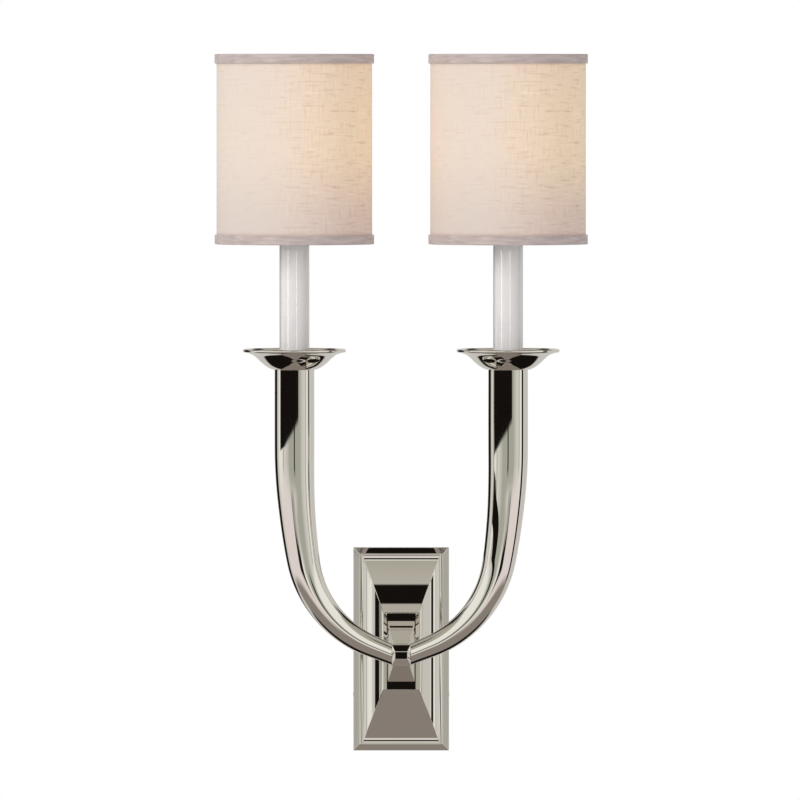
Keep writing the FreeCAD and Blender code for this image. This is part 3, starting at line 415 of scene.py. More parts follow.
def object_places(tree):
    return node(tree, "ShaderNodeTexCoord").outputs["Object"]


def vary(tree, mask, low, high):
    """A mask from 0 to 1 taken to the range low to high."""
    return maths(tree, "MULTIPLY_ADD", mask, high - low, low)


def noise_over(tree, place, scale, **inputs):
    return node(tree, "ShaderNodeTexNoise", None, {"Vector": place, "Scale": scale, **inputs}).outputs[0]


print("helpers:", new_group.__name__, use_group.__name__, vary.__name__, noise_over.__name__)

# %% [markdown]
# ### Wiping marks
#
# Even a mirror polish isn't perfectly even. Slow clouds are left by the buffing wheel and fine marks by
# the cloth. One group makes both, so every metal here can carry them at its own scale and strength.

# %% Wiping marks
CLOUD_SHARE = 0.6
MARK_TURN = (0.4, 0.9, 0.2)
MARK_STRETCH = (1.0, 0.06, 1.0)


def wiping_marks():
    """Slow clouds crossed by fine marks: a mask round 0.5 that varies a polish."""
    group, given, result = new_group(
        "wiping_marks",
        [("Vector", "Vector", None), ("Cloud Scale", "Float", 40.0), ("Mark Scale", "Float", 900.0)],
        [("Mask", "Float")],
    )
    clouds = noise_over(group, given["Vector"], given["Cloud Scale"], Detail=3.0, Roughness=0.6)
    stretched = node(group, "ShaderNodeMapping", None, {
        "Vector": given["Vector"], "Rotation": MARK_TURN, "Scale": MARK_STRETCH}).outputs[0]
    marks = noise_over(group, stretched, given["Mark Scale"], Detail=2.0)
    cloudy = maths(group, "MULTIPLY", clouds, CLOUD_SHARE)
    group.links.new(maths(group, "MULTIPLY_ADD", marks, 1 - CLOUD_SHARE, cloudy), result["Mask"])
    return group


WIPING_MARKS = wiping_marks()
print("wiping marks use", len(WIPING_MARKS.nodes), "nodes")

# %% [markdown]
# ### Metals
#
# Nickel is a warm white metal. Its polish is so high that the room's lines stay crisp, so its roughness
# is almost nothing. The hidden hardware is duller, as plated steel and brass are.

# %% Metals
TINT_SPREAD = 0.03


def metal(name, colour, roughness, spread, cloud_scale=40.0):
    material, tree, shader = principled(name, Base_Color=(*colour, 1), Metallic=1.0, Roughness=roughness)
    marks = use_group(tree, WIPING_MARKS, {"Vector": object_places(tree), "Cloud Scale": cloud_scale})
    mask = marks["Mask"]
    tree.links.new(vary(tree, mask, roughness - spread, roughness + spread), shader.inputs["Roughness"])
    darker = [c * (1 - TINT_SPREAD) for c in colour]
    lighter = [min(c * (1 + TINT_SPREAD), 1) for c in colour]
    tree.links.new(mix(tree, mask, darker, lighter), shader.inputs["Base Color"])
    return material


NICKEL = metal("polished_nickel", (0.86, 0.83, 0.79), 0.014, 0.008)
STEEL = metal("zinc_plated_steel", (0.60, 0.60, 0.61), 0.32, 0.10, 120.0)
SCREW_STEEL = metal("screw_steel", (0.68, 0.66, 0.63), 0.20, 0.08, 200.0)
BRASS = metal("plain_brass", (0.80, 0.60, 0.30), 0.26, 0.10, 150.0)
CAP_METAL = metal("bulb_cap_metal", (0.74, 0.73, 0.70), 0.28, 0.10, 200.0)
EARTH_GREEN = metal("green_screw", (0.08, 0.33, 0.14), 0.30, 0.08, 200.0)
METALS = (NICKEL, STEEL, SCREW_STEEL, BRASS, CAP_METAL, EARTH_GREEN)
print("metals:", ", ".join(material.name for material in METALS))

# %% [markdown]
# ### Plastics
#
# The candle sleeve is a moulded tube with a hard gloss, so it gets a clear coat over a white body. The
# socket, the terminals, the leads and the liner are plain mouldings with a faint speckle.

# %% Plastics
SPECKLE_SCALE = 260.0
SPECKLE_ROUGHNESS = 0.15


def plastic(name, colour, roughness, speckle, bump=0.0):
    """A moulded plastic; returns the material and its shader."""
    material, tree, shader = principled(name, Base_Color=(*colour, 1), Roughness=roughness)
    noise = noise_over(tree, object_places(tree), SPECKLE_SCALE, Detail=3.0)
    darker = [c * (1 - speckle) for c in colour]
    lighter = [min(c * (1 + speckle), 1) for c in colour]
    tree.links.new(mix(tree, noise, darker, lighter), shader.inputs["Base Color"])
    smoother, rougher = roughness * (1 - SPECKLE_ROUGHNESS), roughness * (1 + SPECKLE_ROUGHNESS)
    tree.links.new(vary(tree, noise, smoother, rougher), shader.inputs["Roughness"])
    if bump:
        lumps = node(tree, "ShaderNodeBump", None, {"Strength": 0.3, "Distance": bump, "Height": noise})
        tree.links.new(lumps.outputs[0], shader.inputs["Normal"])
    return material, shader


CANDLE_WHITE, candle_shader = plastic("candle_white", (0.78, 0.762, 0.762), 0.06, 0.01)
candle_shader.inputs["Coat Weight"].default_value = 1.0
candle_shader.inputs["Coat Roughness"].default_value = 0.03
SOCKET_BLACK = plastic("socket_black", (0.03, 0.03, 0.03), 0.45, 0.15, 0.1 * MM)[0]
TERMINAL_PLASTIC = plastic("terminal_plastic", (0.80, 0.79, 0.74), 0.5, 0.04, 0.1 * MM)[0]
LEAD_PLASTIC = plastic("lead_insulation", (0.82, 0.81, 0.77), 0.4, 0.05)[0]
LINER_WHITE = plastic("shade_liner", (0.84, 0.80, 0.74), 0.5, 0.03)[0]
PLASTICS = (CANDLE_WHITE, SOCKET_BLACK, TERMINAL_PLASTIC, LEAD_PLASTIC, LINER_WHITE)
print("plastics:", ", ".join(material.name for material in PLASTICS))

# %% [markdown]
# ### Glass and glow
#
# The bulb's glass is clear with faint streaks. The filaments glow warmly but weakly: the shades hide
# them, and the light that the cloth shows comes from the linen's own glow.

# %% Glass and filament
GLASS_STREAKS = 60.0
STREAK_ROUGHNESS = (0.01, 0.05)
FILAMENT_GRAIN = 900.0
EMBER, FLAME = (1.0, 0.62, 0.25), (1.0, 0.78, 0.45)

BULB_GLASS, glass_tree, glass_shader = principled(
    "clear_glass", Base_Color=(0.98, 0.98, 0.97, 1), Roughness=0.03, IOR=1.45, Transmission_Weight=1.0)
streaks = noise_over(glass_tree, object_places(glass_tree), GLASS_STREAKS)
glass_tree.links.new(vary(glass_tree, streaks, *STREAK_ROUGHNESS), glass_shader.inputs["Roughness"])

GLOW, glow_tree, glow_shader = principled(
    "filament_glow", Base_Color=(0.95, 0.78, 0.42, 1), Roughness=0.5, Emission_Strength=2.0)
grain = noise_over(glow_tree, object_places(glow_tree), FILAMENT_GRAIN)
glow_tree.links.new(mix(glow_tree, grain, EMBER, FLAME), glow_shader.inputs["Emission Color"])
print("glass and glow:", BULB_GLASS.name, GLOW.name)

# %% [markdown]
# ### The weave of linen
#
# Linen yarn is uneven: thick lumps, called slubs, run along both directions of the plain weave, and thin
# spots lie between them. Noise stretched a lot along one axis gives short dashes, so the group lays one
# set along the weft and a weaker one along the warp, over the fine threads.

# %% Slub weave
SLUB_THREADS = {
    # direction: (scale of the noise on the map, seed, share of the full strength)
    "weft": ((62.0, 520.0, 1.0), 0.0, 1.0),
    "warp": ((560.0, 66.0, 1.0), 7.0, 0.65),
}
SLUB_RANGE = (0.56, 0.72)
THIN_RANGE = (0.42, 0.28)


def slub_weave():
    """Linen read from a map in metres: plain weave threads, with thick slubs along both directions."""
    group, given, result = new_group(
        "slub_weave",
        [("Map", "Vector", None), ("Thread Pitch", "Float", 0.7 * MM)],
        [("Threads", "Float"), ("Slubs", "Float"), ("Thin Spots", "Float")],
    )
    across = node(group, "ShaderNodeSeparateXYZ", None, {0: given["Map"]}).outputs
    pitch = maths(group, "DIVIDE", math.pi, given["Thread Pitch"])
    warp, weft = [
        maths(group, "ABSOLUTE", maths(group, "SINE", maths(group, "MULTIPLY", across[axis], pitch)))
        for axis in ("X", "Y")]
    group.links.new(maths(group, "MAXIMUM", warp, weft), result["Threads"])
    slubs, thin = [], []
    for scale, seed, share in SLUB_THREADS.values():
        placed = node(group, "ShaderNodeMapping", None, {
            "Vector": given["Map"], "Location": (seed, seed, 0.0), "Scale": scale}).outputs[0]
        yarn = noise_over(group, placed, 1.0, Detail=2.0, Roughness=0.55)
        slubs.append(map_range(group, yarn, *SLUB_RANGE, 0.0, share))
        thin.append(map_range(group, yarn, *THIN_RANGE, 0.0, share))
    group.links.new(maths(group, "MAXIMUM", *slubs), result["Slubs"])
    group.links.new(maths(group, "MAXIMUM", *thin), result["Thin Spots"])
    return group


SLUB_WEAVE = slub_weave()
print("slub weave uses", len(SLUB_WEAVE.nodes), "nodes")

# %% [markdown]
# ### Where the cloth glows
#
# The glow is painted into the cloth, in its colour and in a weak emission: it is strongest level with the
# bulb and fades towards the lower edge, where a painted shade shows, pinker towards the right. It also grows
# from left to right, as the key lamp drowns it on the left, and the weave is painted stronger where the glow
# is. A soft painted shadow follows the cloth beside each tape.

# %% Masks on the drum
GLOW_LEVEL, GLOW_AT_TOP = 0.55, 0.85
GLOW_SPREAD = (-0.6, 0.9)
# the weave's slubs are painted stronger towards the right, with the painted glow
TEXTURE_SPREAD, TEXTURE_STRENGTH = (-0.45, 0.35), (0.07, 0.50)
TAPE_SHARE = 0.05
# a painted shadow on the cloth beside each tape
TAPE_SHADOW_WIDTH, TAPE_SHADOW_STRENGTH = 0.016, 0.45


def drum_masks(tree, side):
    """Masks over the drum: its painted glow by height and by side, how much weave shows with it, and the
    painted shadow beside each tape.
    """
    places = node(tree, "ShaderNodeSeparateXYZ", None, {0: object_places(tree)}).outputs
    rise = map_range(tree, places["Z"], SHADE_LOW, SHADE_HIGH, 0.0, 1.0)
    from_axis = maths(tree, "SUBTRACT", places["X"], SIDES[side] * CANDLE_X)
    along_x = maths(tree, "MULTIPLY", from_axis, 1 / DRUM_RADIUS)
    from_edge = maths(tree, "MINIMUM", rise, maths(tree, "SUBTRACT", 1.0, rise))
    glow_stops = [(0.0, (0, 0, 0)), (GLOW_LEVEL, (1, 1, 1)), (1.0, (GLOW_AT_TOP,) * 3)]
    shadow_end = TAPE_SHARE + TAPE_SHADOW_WIDTH
    return {
        "by_height": ramp(tree, rise, glow_stops, "EASE"),
        "by_side": map_range(tree, along_x, *GLOW_SPREAD, 0.0, 1.0, smooth=True),
        "weave_with_painted_glow": map_range(tree, along_x, *TEXTURE_SPREAD, *TEXTURE_STRENGTH, smooth=True),
        "painted_tape_shadow": map_range(tree, from_edge, TAPE_SHARE, shadow_end, TAPE_SHADOW_STRENGTH, 0.0),
    }


print("cloth glows most", round((SHADE_HIGH - SHADE_LOW) * GLOW_LEVEL / MM), "mm above the shade's foot")

# %% [markdown]
# ### Linen with a lamp behind it
#
# The cloth is read from its own map, in metres: u runs round the drum and v up it. Slubs block some light
# and thin spots let more through. Real light through real cloth would need far more samples, so a weak
# emission with the same pattern stands for it. The base colour carries painted light too: a painted glow
# where the emission is, and painted shade towards the right.

# %% Linen
# painted light: the cloth at the left, a painted shade copy for the right, and a painted glow copy
LINEN_PAINTED_LIT_LEFT = (0.72, 0.635, 0.58)
LINEN_PAINTED_SHADE_RIGHT = (0.79, 0.625, 0.56)
LINEN_PAINTED_GLOW = (0.80, 0.65, 0.49)
SLUB_BROWN = (0.56, 0.40, 0.30)
THIN_CREAM = (0.92, 0.80, 0.64)
TAPE_SHADOW = (0.50, 0.38, 0.33)
LIT_CLOTH, LIT_SLUB, UNLIT_FOOT = (1.0, 0.74, 0.46), (0.72, 0.44, 0.24), (0.16, 0.11, 0.09)
GLOW_LEFT, GLOW_RIGHT = 0.62, 1.0
THREAD_RELIEF = 0.25
LAP_EDGE = 2 * math.pi * DRUM_RADIUS / 4
LAP_STEP = 0.4 * MM
LAP_RISE = 3.0


def linen_colour(tree, masks, weave):
    # painted glow by height and side, over painted shade from left to right
    painted_glow_share = maths(tree, "MULTIPLY", masks["by_height"], masks["by_side"])
    painted_side_shade = mix(tree, masks["by_side"], LINEN_PAINTED_LIT_LEFT, LINEN_PAINTED_SHADE_RIGHT)
    colour = mix(tree, painted_glow_share, painted_side_shade, LINEN_PAINTED_GLOW)
    # slubs and thin spots, painted stronger where the painted glow is
    for pattern, tone in (("Slubs", SLUB_BROWN), ("Thin Spots", THIN_CREAM)):
        colour = mix(tree, maths(tree, "MULTIPLY", weave[pattern], masks["weave_with_painted_glow"]), colour, tone)
    # painted shadow beside each tape
    return mix(tree, masks["painted_tape_shadow"], colour, TAPE_SHADOW)


def linen(side):
    """The drum's cloth; its colour has a painted glow that warms with height and towards the right, over
    painted shade at the right.
    """
    material, tree, shader = principled(
        f"{side}_linen", Roughness=0.85, Emission_Strength=0.22, Sheen_Weight=0.15, Specular_IOR_Level=0.25)
    cloth_map = node(tree, "ShaderNodeUVMap", {"uv_map": "cloth"}).outputs[0]
    weave = use_group(tree, SLUB_WEAVE, {"Map": cloth_map})
    masks = drum_masks(tree, side)
    tree.links.new(linen_colour(tree, masks, weave), shader.inputs["Base Color"])
    glow = maths(tree, "MULTIPLY", masks["by_height"], vary(tree, masks["by_side"], GLOW_LEFT, GLOW_RIGHT))
    lit = mix(tree, glow, UNLIT_FOOT, mix(tree, weave["Slubs"], LIT_CLOTH, LIT_SLUB))
    tree.links.new(lit, shader.inputs["Emission Color"])
    relief = maths(tree, "MULTIPLY_ADD", weave["Threads"], THREAD_RELIEF, weave["Slubs"])
    round_drum = node(tree, "ShaderNodeSeparateXYZ", None, {0: cloth_map}).outputs["X"]
    lapped = map_range(tree, round_drum, LAP_EDGE, LAP_EDGE + LAP_STEP, 0.0, LAP_RISE)
    bump = node(tree, "ShaderNodeBump", None, {
        "Strength": 0.35, "Distance": 0.3 * MM, "Height": maths(tree, "ADD", relief, lapped)})
    tree.links.new(bump.outputs[0], shader.inputs["Normal"])
    return material


LINEN = {side: linen(side) for side in SIDES}
print("the lap lies", round(LAP_EDGE / MM), "mm round the drum")

# %% [markdown]
# ### Tape
#
# The edges are bound with cotton tape, a shade greyer than the linen. It is pulled tight round the hoop,
# which leaves faint slanting marks, so its noise is stretched and turned by 35 degrees.

# %% Tape cloth
TAPE_DARK, TAPE_LIGHT = (0.51, 0.425, 0.412), (0.65, 0.55, 0.523)
PULL_SLANT = math.radians(35)
PULL_SCALE = (60.0, 420.0, 1.0)
PULL_RANGE = (0.36, 0.64)
TAPE_PITCH, TAPE_THREAD_RELIEF = 0.5 * MM, 0.15


def tape_cloth():
    """Cotton tape, a shade greyer than the linen, with faint slanting pull marks."""
    material, tree, shader = principled("tape_cloth", Roughness=0.8, Sheen_Weight=0.2)
    tape_map = node(tree, "ShaderNodeUVMap", {"uv_map": "cloth"}).outputs[0]
    slanted = node(tree, "ShaderNodeMapping", None, {
        "Vector": tape_map, "Rotation": (0, 0, PULL_SLANT), "Scale": PULL_SCALE}).outputs[0]
    pulls = map_range(tree, noise_over(tree, slanted, 1.0, Detail=3.0), *PULL_RANGE, 0.0, 1.0)
    weave = use_group(tree, SLUB_WEAVE, {"Map": tape_map, "Thread Pitch": TAPE_PITCH})
    tree.links.new(mix(tree, pulls, TAPE_DARK, TAPE_LIGHT), shader.inputs["Base Color"])
    relief = maths(tree, "MULTIPLY_ADD", weave["Threads"], TAPE_THREAD_RELIEF, pulls)
    bump = node(tree, "ShaderNodeBump", None, {"Strength": 0.5, "Distance": 0.4 * MM, "Height": relief})
    tree.links.new(bump.outputs[0], shader.inputs["Normal"])
    return material


TAPE = tape_cloth()
print("cloths:", ", ".join(material.name for material in (*LINEN.values(), TAPE)))

# %% [markdown]
# ## Pieces
#
# Every piece ends the same way: its doubled points are merged, its faces turned outwards, its steep edges
# marked sharp and the rest smoothed. Then it is hung under the empty of the body it rides on, and the CAD
# nodes it replaces are hidden.

# %% Finishing a piece
SHARP = math.radians(32)
FLAT_FACED = math.radians(10)
DOUBLED = 1e-7


def link_mesh(shaped, name):
    """Turns a bmesh into a named mesh."""
    mesh = bpy.data.meshes.new(name)
    shaped.to_mesh(mesh)
    shaped.free()
    return mesh


def finish_piece(name, mesh, body, material, replaced=(), sharp=SHARP):
    """Makes an object of a mesh, shades it, parents it to its body's empty and hides the CAD nodes it
    replaces.
    """
    shaped = bmesh.new()
    shaped.from_mesh(mesh)
    bmesh.ops.remove_doubles(shaped, verts=shaped.verts, dist=DOUBLED)
    bmesh.ops.recalc_face_normals(shaped, faces=shaped.faces)
    shaped.to_mesh(mesh)
    shaped.free()
    mesh.shade_smooth()
    mesh.set_sharp_from_angle(angle=sharp)
    mesh.materials.clear()
    mesh.materials.append(material)
    piece = bpy.data.objects.new(name, mesh)
    bpy.context.scene.collection.objects.link(piece)
    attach(piece, body)
    if replaced:
        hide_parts(*replaced)
    return piece


print("edges steeper than", round(math.degrees(SHARP)), "degrees stay sharp")

# %% [markdown]
# ### Turning a profile
#
# Most of a sconce is spun or turned on a lathe, so one helper turns a profile about an upright axis. It
# also lays a map in metres over the skin, which the linen and the tape read for their weave.

# %% Turned pieces
FINE_STEPS = 128


def profile_lengths(profile):
    """How far along the closed profile each of its points lies."""
    lengths = [0.0]
    for (r0, z0), (r1, z1) in zip(profile, profile[1:] + profile[:1]):
        lengths.append(lengths[-1] + math.hypot(r1 - r0, z1 - z0))
    return lengths


def ring_of(shaped, radius, level, x, y, steps, ripple):
    """The points of one ring, or the single point on the axis."""
    if radius < DOUBLED:
        return [shaped.verts.new((x, y, level))]
    ring = []
    for step in range(steps):
        angle = 2 * math.pi * step / steps
        reach = radius + (ripple(angle, level) if ripple else 0.0)
        ring.append(shaped.verts.new((x + reach * math.cos(angle), y + reach * math.sin(angle), level)))
    return ring


def turned(name, profile, x, y, steps=FINE_STEPS, closed=True, ripple=None):
    """Turns (radius, height) points about an upright axis at x, y. Profiles are in metres."""
    shaped = bmesh.new()
    rings = [ring_of(shaped, radius, level, x, y, steps, ripple) for radius, level in profile]
    pairs = list(zip(rings, rings[1:])) + ([(rings[-1], rings[0])] if closed else [])
    around = shaped.loops.layers.uv.new("cloth")
    lengths = profile_lengths(profile)
    girth = 2 * math.pi * max(radius for radius, _ in profile)
    for number, (low, high) in enumerate(pairs):
        if len(low) == 1 and len(high) == 1:
            continue
        for step in range(steps):
            after = (step + 1) % steps
            corners = {}
            for ring, index, end in ((low, step, 0), (low, after, 0), (high, after, 1), (high, step, 1)):
                vert = ring[index] if len(ring) > 1 else ring[0]
                u = (step + (index == after)) / steps * girth
                corners.setdefault(vert, (u, lengths[number + end]))
            face = shaped.faces.new(list(corners))
            for loop in face.loops:
                loop[around].uv = corners[loop.vert]
    return link_mesh(shaped, name)


print("a turned piece has", FINE_STEPS, "steps round")

# %% [markdown]
# ### Arcs and smooth curves
#
# Rims and domes are arcs. An ogee, as on the drip dish, is a smooth curve through a few measured points.
# This kind passes through all of them and takes its direction from their neighbours, so it has no handles.

# %% Curves for profiles
def arc(centre, radius, start, end, steps):
    """Points on an arc in the profile's plane; angles in degrees."""
    points = []
    for step in range(steps + 1):
        angle = math.radians(start + (end - start) * step / steps)
        points.append((centre[0] + radius * math.cos(angle), centre[1] + radius * math.sin(angle)))
    return points


def curve_between(p, q, r, s, t):
    """The smooth curve from q to r as t goes from 0 to 1, with p before and s after them."""
    straight = 2 * q + (r - p) * t
    return 0.5 * (straight + (2 * p - 5 * q + 4 * r - s) * t**2 + (3 * q - p - 3 * r + s) * t**3)


def smooth_through(points, steps):
    """A smooth curve that passes through every one of the profile points."""
    padded = [points[0], *points, points[-1]]
    result = []
    for four in zip(padded, padded[1:], padded[2:], padded[3:]):
        for step in range(steps):
            result.append(tuple(curve_between(*axis, step / steps) for axis in zip(*four)))
    return result + [points[-1]]


print("helpers:", arc.__name__, smooth_through.__name__)

# %% [markdown]
# ### The line of the horn arms
#
# Each arm is one tapering tube: straight down from the dish, then two arcs that meet smoothly, then a
# short slope into the side of the hub. Its girth is eased through the half widths that were measured
# along it.

# %% Arm sizes and girth
ARM = {
    "seat_height": 0.4 * MM,
    "slope": math.radians(21.7),
    "upper_turn": math.radians(9.2),
    "upper_radius": 500.0 * MM,
    "lower_radius": 82.7 * MM,
}
# (mm along the line from the dish, radius in mm)
ARM_GIRTHS = [(0, 14.6), (60, 14.6), (82, 14.15), (104, 13.35), (140.6, 12.1), (190, 9.75), (246, 7.05)]


def eased(t, start, end, start_slope, end_slope):
    """A cubic curve from start to end as t goes from 0 to 1, with a slope set at each end."""
    blend = (2 * t**3 - 3 * t**2 + 1) * start + (t**3 - 2 * t**2 + t) * start_slope
    return blend + (3 * t**2 - 2 * t**3) * end + (t**3 - t**2) * end_slope


def girth_at(run):
    """The arm's radius at a distance along its line, smooth through the measured girths."""
    points = ARM_GIRTHS
    run_mm = min(max(run / MM, 0), points[-1][0])
    for number in range(len(points) - 1):
        (s1, r1), (s2, r2) = points[number], points[number + 1]
        if run_mm <= s2:
            s0, r0 = points[max(number - 1, 0)]
            s3, r3 = points[min(number + 2, len(points) - 1)]
            m1 = (r2 - r0) / (s2 - s0) * (s2 - s1)
            m2 = (r3 - r1) / (s3 - s1) * (s2 - s1)
            return eased((run_mm - s1) / (s2 - s1), r1, r2, m1, m2) * MM
    return points[-1][1] * MM


print("arm", 2 * ARM_GIRTHS[0][1], "mm thick at the dish,", 2 * ARM_GIRTHS[-1][1], "at the hub")

# %% [markdown]
# The line is worked out from the hub upwards: where the slope meets the small arc, where that meets the
# big one, and where the tube turns upright. Stations stand closer in the tight bend.

# %% Arm line
STRAIGHT_RINGS, UPPER_RINGS, LOWER_RINGS = 14, 18, 48


def arm_line():
    """Stations down the right arm: (x, z, lean from upright)."""
    slope, upper, big, small = ARM["slope"], ARM["upper_turn"], ARM["upper_radius"], ARM["lower_radius"]
    knee_x = CANDLE_X - big * (1 - math.cos(upper))
    bend_x = knee_x - small * (math.cos(upper) - math.sin(slope))
    bend_z = ARM["seat_height"] + (bend_x - HUB_SIDE) * math.tan(slope)
    knee_z = bend_z + small * (math.cos(slope) - math.sin(upper))
    upright_z = knee_z + big * math.sin(upper)
    drop = upright_z - ARM_TOP
    stations = [(CANDLE_X, ARM_TOP + drop * i / STRAIGHT_RINGS, 0.0) for i in range(STRAIGHT_RINGS)]
    for i in range(UPPER_RINGS):
        lean = upper * i / UPPER_RINGS
        stations.append((CANDLE_X - big * (1 - math.cos(lean)), upright_z - big * math.sin(lean), lean))
    for i in range(LOWER_RINGS + 1):
        lean = upper + (math.pi / 2 - slope - upper) * i / LOWER_RINGS
        x = knee_x - small * (math.cos(upper) - math.cos(lean))
        stations.append((x, knee_z - small * (math.sin(lean) - math.sin(upper)), lean))
    return stations


print("arm line stations:", len(arm_line()))

# %% [markdown]
# ### The skin of the horn arms
#
# A sweep in Blender can't follow both the bend and this taper with even facets, so rings of points are
# set along the line and joined. The last rings slide along the slope until they lie flat on the hub.

# %% Arm rings
ARM_SEGMENTS = 72
STUB_RINGS = 6


def curved_rings(stations):
    """Rings of points round the arm's line, and how far along it the last one lies."""
    rings, run, previous = [], 0.0, stations[0]
    for x, z, lean in stations:
        run += math.hypot(x - previous[0], z - previous[1])
        previous = (x, z, lean)
        girth = girth_at(run)
        across = Vector((math.cos(lean), 0, -math.sin(lean)))
        ring = []
        for step in range(ARM_SEGMENTS):
            angle = 2 * math.pi * step / ARM_SEGMENTS
            offset = across * (girth * math.cos(angle)) + Vector((0, girth * math.sin(angle), 0))
            ring.append(Vector((x, ARM_Y, z)) + offset)
        rings.append(ring)
    return rings, run


def stub_rings(last_ring, station, run):
    """Rings that carry the last curved ring down the slope, on to the hub's side."""
    slope = ARM["slope"]
    heading = Vector((-math.cos(slope), 0, -math.sin(slope)))
    centre = Vector((station[0], ARM_Y, station[1]))
    stub = (centre.x - HUB_SIDE) / math.cos(slope)
    shrink_to = girth_at(run + stub) / girth_at(run)
    rings = []
    for number in range(1, STUB_RINGS + 1):
        share = number / STUB_RINGS
        shrink = 1 + (shrink_to - 1) * share
        ring = []
        for point in last_ring:
            reach = (point.x - HUB_SIDE) / math.cos(slope)
            ring.append(centre + heading * (reach * share) + (point - centre) * shrink)
        rings.append(ring)
    for point in rings[-1]:
        point.x = HUB_SIDE
    return rings


print("each ring of an arm has", ARM_SEGMENTS, "points")

# %% [markdown]
# The left arm is the same list of rings with X turned round. Its faces then point inwards, and the
# finishing step turns them out again.

# %% Arms
def skin(shaped, loops):
    """Faces between loops of the same number of points, and a lid on both ends."""
    for low, high in zip(loops, loops[1:]):
        for step in range(len(low)):
            after = (step + 1) % len(low)
            shaped.faces.new((low[step], low[after], high[after], high[step]))
    shaped.faces.new(loops[0])
    shaped.faces.new(loops[-1])


def arm_mesh(side):
    stations = arm_line()
    rings, run = curved_rings(stations)
    rings += stub_rings(rings[-1], stations[-1], run)
    shaped = bmesh.new()
    skin(shaped, [[shaped.verts.new((SIDES[side] * p.x, p.y, p.z)) for p in ring] for ring in rings])
    return link_mesh(shaped, f"{side}_horn_arm")


for side in SIDES:
    horn = finish_piece(f"{side}_horn_arm", arm_mesh(side), "fixture", NICKEL, [f"{side}_arm"])
    print(horn.name, "has", len(horn.data.polygons), "faces")

# %% [markdown]
# ### Drip dishes
#
# A drip dish is spun from sheet over a former: a flat foot, an ogee bowl and a rolled rim. The profile
# below walks up the outside, round the rim and back down the inside.

# %% Dishes
DISH_LOW, DISH_HIGH = span("right_bobeche", 2)
DISH_RADIUS = half_width("right_bobeche")
DISH_OUTSIDE = [(15.5, 0.0), (17.8, 0.8), (21.2, 2.8), (24.6, 5.6), (27.6, 8.5), (30.8, 10.9), (35.2, 12.6)]
DISH_SHEET = 1.2 * MM
DISH_DRAW = 0.6 * DISH_SHEET
RIM_ROLL = 1.25 * MM
RIM_ARC = (-75, 150, 14)
UNDER_RIM = 3


def dish_profile():
    outside = [(r * MM, DISH_LOW + z * MM) for r, z in smooth_through(DISH_OUTSIDE, 6)]
    rim = arc((DISH_RADIUS - RIM_ROLL, DISH_HIGH - RIM_ROLL), RIM_ROLL, *RIM_ARC)
    floor_level = DISH_LOW + DISH_SHEET
    inside = [(r - DISH_DRAW, max(z + DISH_SHEET, floor_level)) for r, z in reversed(outside[:-UNDER_RIM])]
    return [(0.0, DISH_LOW), *outside, *rim, *inside, (0.0, floor_level)]


for side, sign in SIDES.items():
    dish = turned(f"{side}_drip_dish", dish_profile(), sign * CANDLE_X, ARM_Y, closed=False)
    finish_piece(f"{side}_drip_dish", dish, "fixture", NICKEL, [f"{side}_bobeche"])
print("dishes", round(2 * DISH_RADIUS / MM, 1), "mm wide,", len(dish_profile()), "profile points")

# %% [markdown]
# ### Candle sleeves
#
# The sleeve is a plain tube that hides the socket. Only its rounded top edge needs care, so the profile
# is two quarter arcs on a straight wall.

# %% Candle sleeves
SLEEVE_LOW, SLEEVE_HIGH = span("right_candle_sleeve", 2)
SLEEVE_RADIUS = half_width("right_candle_sleeve")
SLEEVE_WALL = 1.2 * MM
SLEEVE_EDGE = 0.5 * MM


def sleeve_profile():
    bore, edge = SLEEVE_RADIUS - SLEEVE_WALL, SLEEVE_EDGE
    top = arc((SLEEVE_RADIUS - edge, SLEEVE_HIGH - edge), edge, 0, 90, 5)
    inner_top = arc((bore + edge, SLEEVE_HIGH - edge), edge, 90, 180, 5)
    return [(SLEEVE_RADIUS, SLEEVE_LOW), *top, *inner_top, (bore, SLEEVE_LOW)]


sleeves_only = bpy.data.collections.new("sleeves_only")
for side, sign in SIDES.items():
    name = f"{side}_sleeve"
    tube = turned(name, sleeve_profile(), sign * CANDLE_X, ARM_Y)
    sleeve = finish_piece(name, tube, "fixture", CANDLE_WHITE, [f"{side}_candle_sleeve"])
    sleeves_only.objects.link(sleeve)
print("sleeves", round((SLEEVE_HIGH - SLEEVE_LOW) / MM), "mm tall")

# %% [markdown]
# ### Strip lamps for the sleeves
#
# Two tall strip lamps draw the upright highlights of the glossy sleeves. Light linking keeps them off
# the nickel, which mirrors the room and nothing else.

# %% Strip lamps
STRIP_DISTANCE = 3.0
STRIP_LEVEL = 0.28
STRIP_HEIGHT = 2.4
STRIPS = {
    # name: (turn from straight ahead in degrees, width, power)
    "strip_left": (-51.0, 0.42, 9.0),
    "strip_middle": (16.0, 0.34, 7.0),
}
for name, (aim, width, power) in STRIPS.items():
    heading = math.radians(aim)
    x, y = STRIP_DISTANCE * math.sin(heading), ARM_Y - STRIP_DISTANCE * math.cos(heading)
    strip = lamp(name, (x, y, STRIP_LEVEL), width, power)
    strip.data.shape, strip.data.size_y = "RECTANGLE", STRIP_HEIGHT
    strip.visible_glossy = True
    strip.light_linking.receiver_collection = sleeves_only
    print(name, "stands", aim, "degrees from straight ahead")

# %% [markdown]
# ### Stepped castings
#
# The plate, the neck and the hub are stacks of rectangles that shrink as they come out from the wall. The
# skin between two rectangles is flat from side to side, so mirror images on it stay straight, as on the
# real casting. A concave pyramid is a stack whose corners follow an arc.

# %% Stepped pieces
COVE_START = 9.0
COVE_END = 60.0
COVE_STEPS = 14
CORNERS = ((-1, -1), (1, -1), (1, 1), (-1, 1))


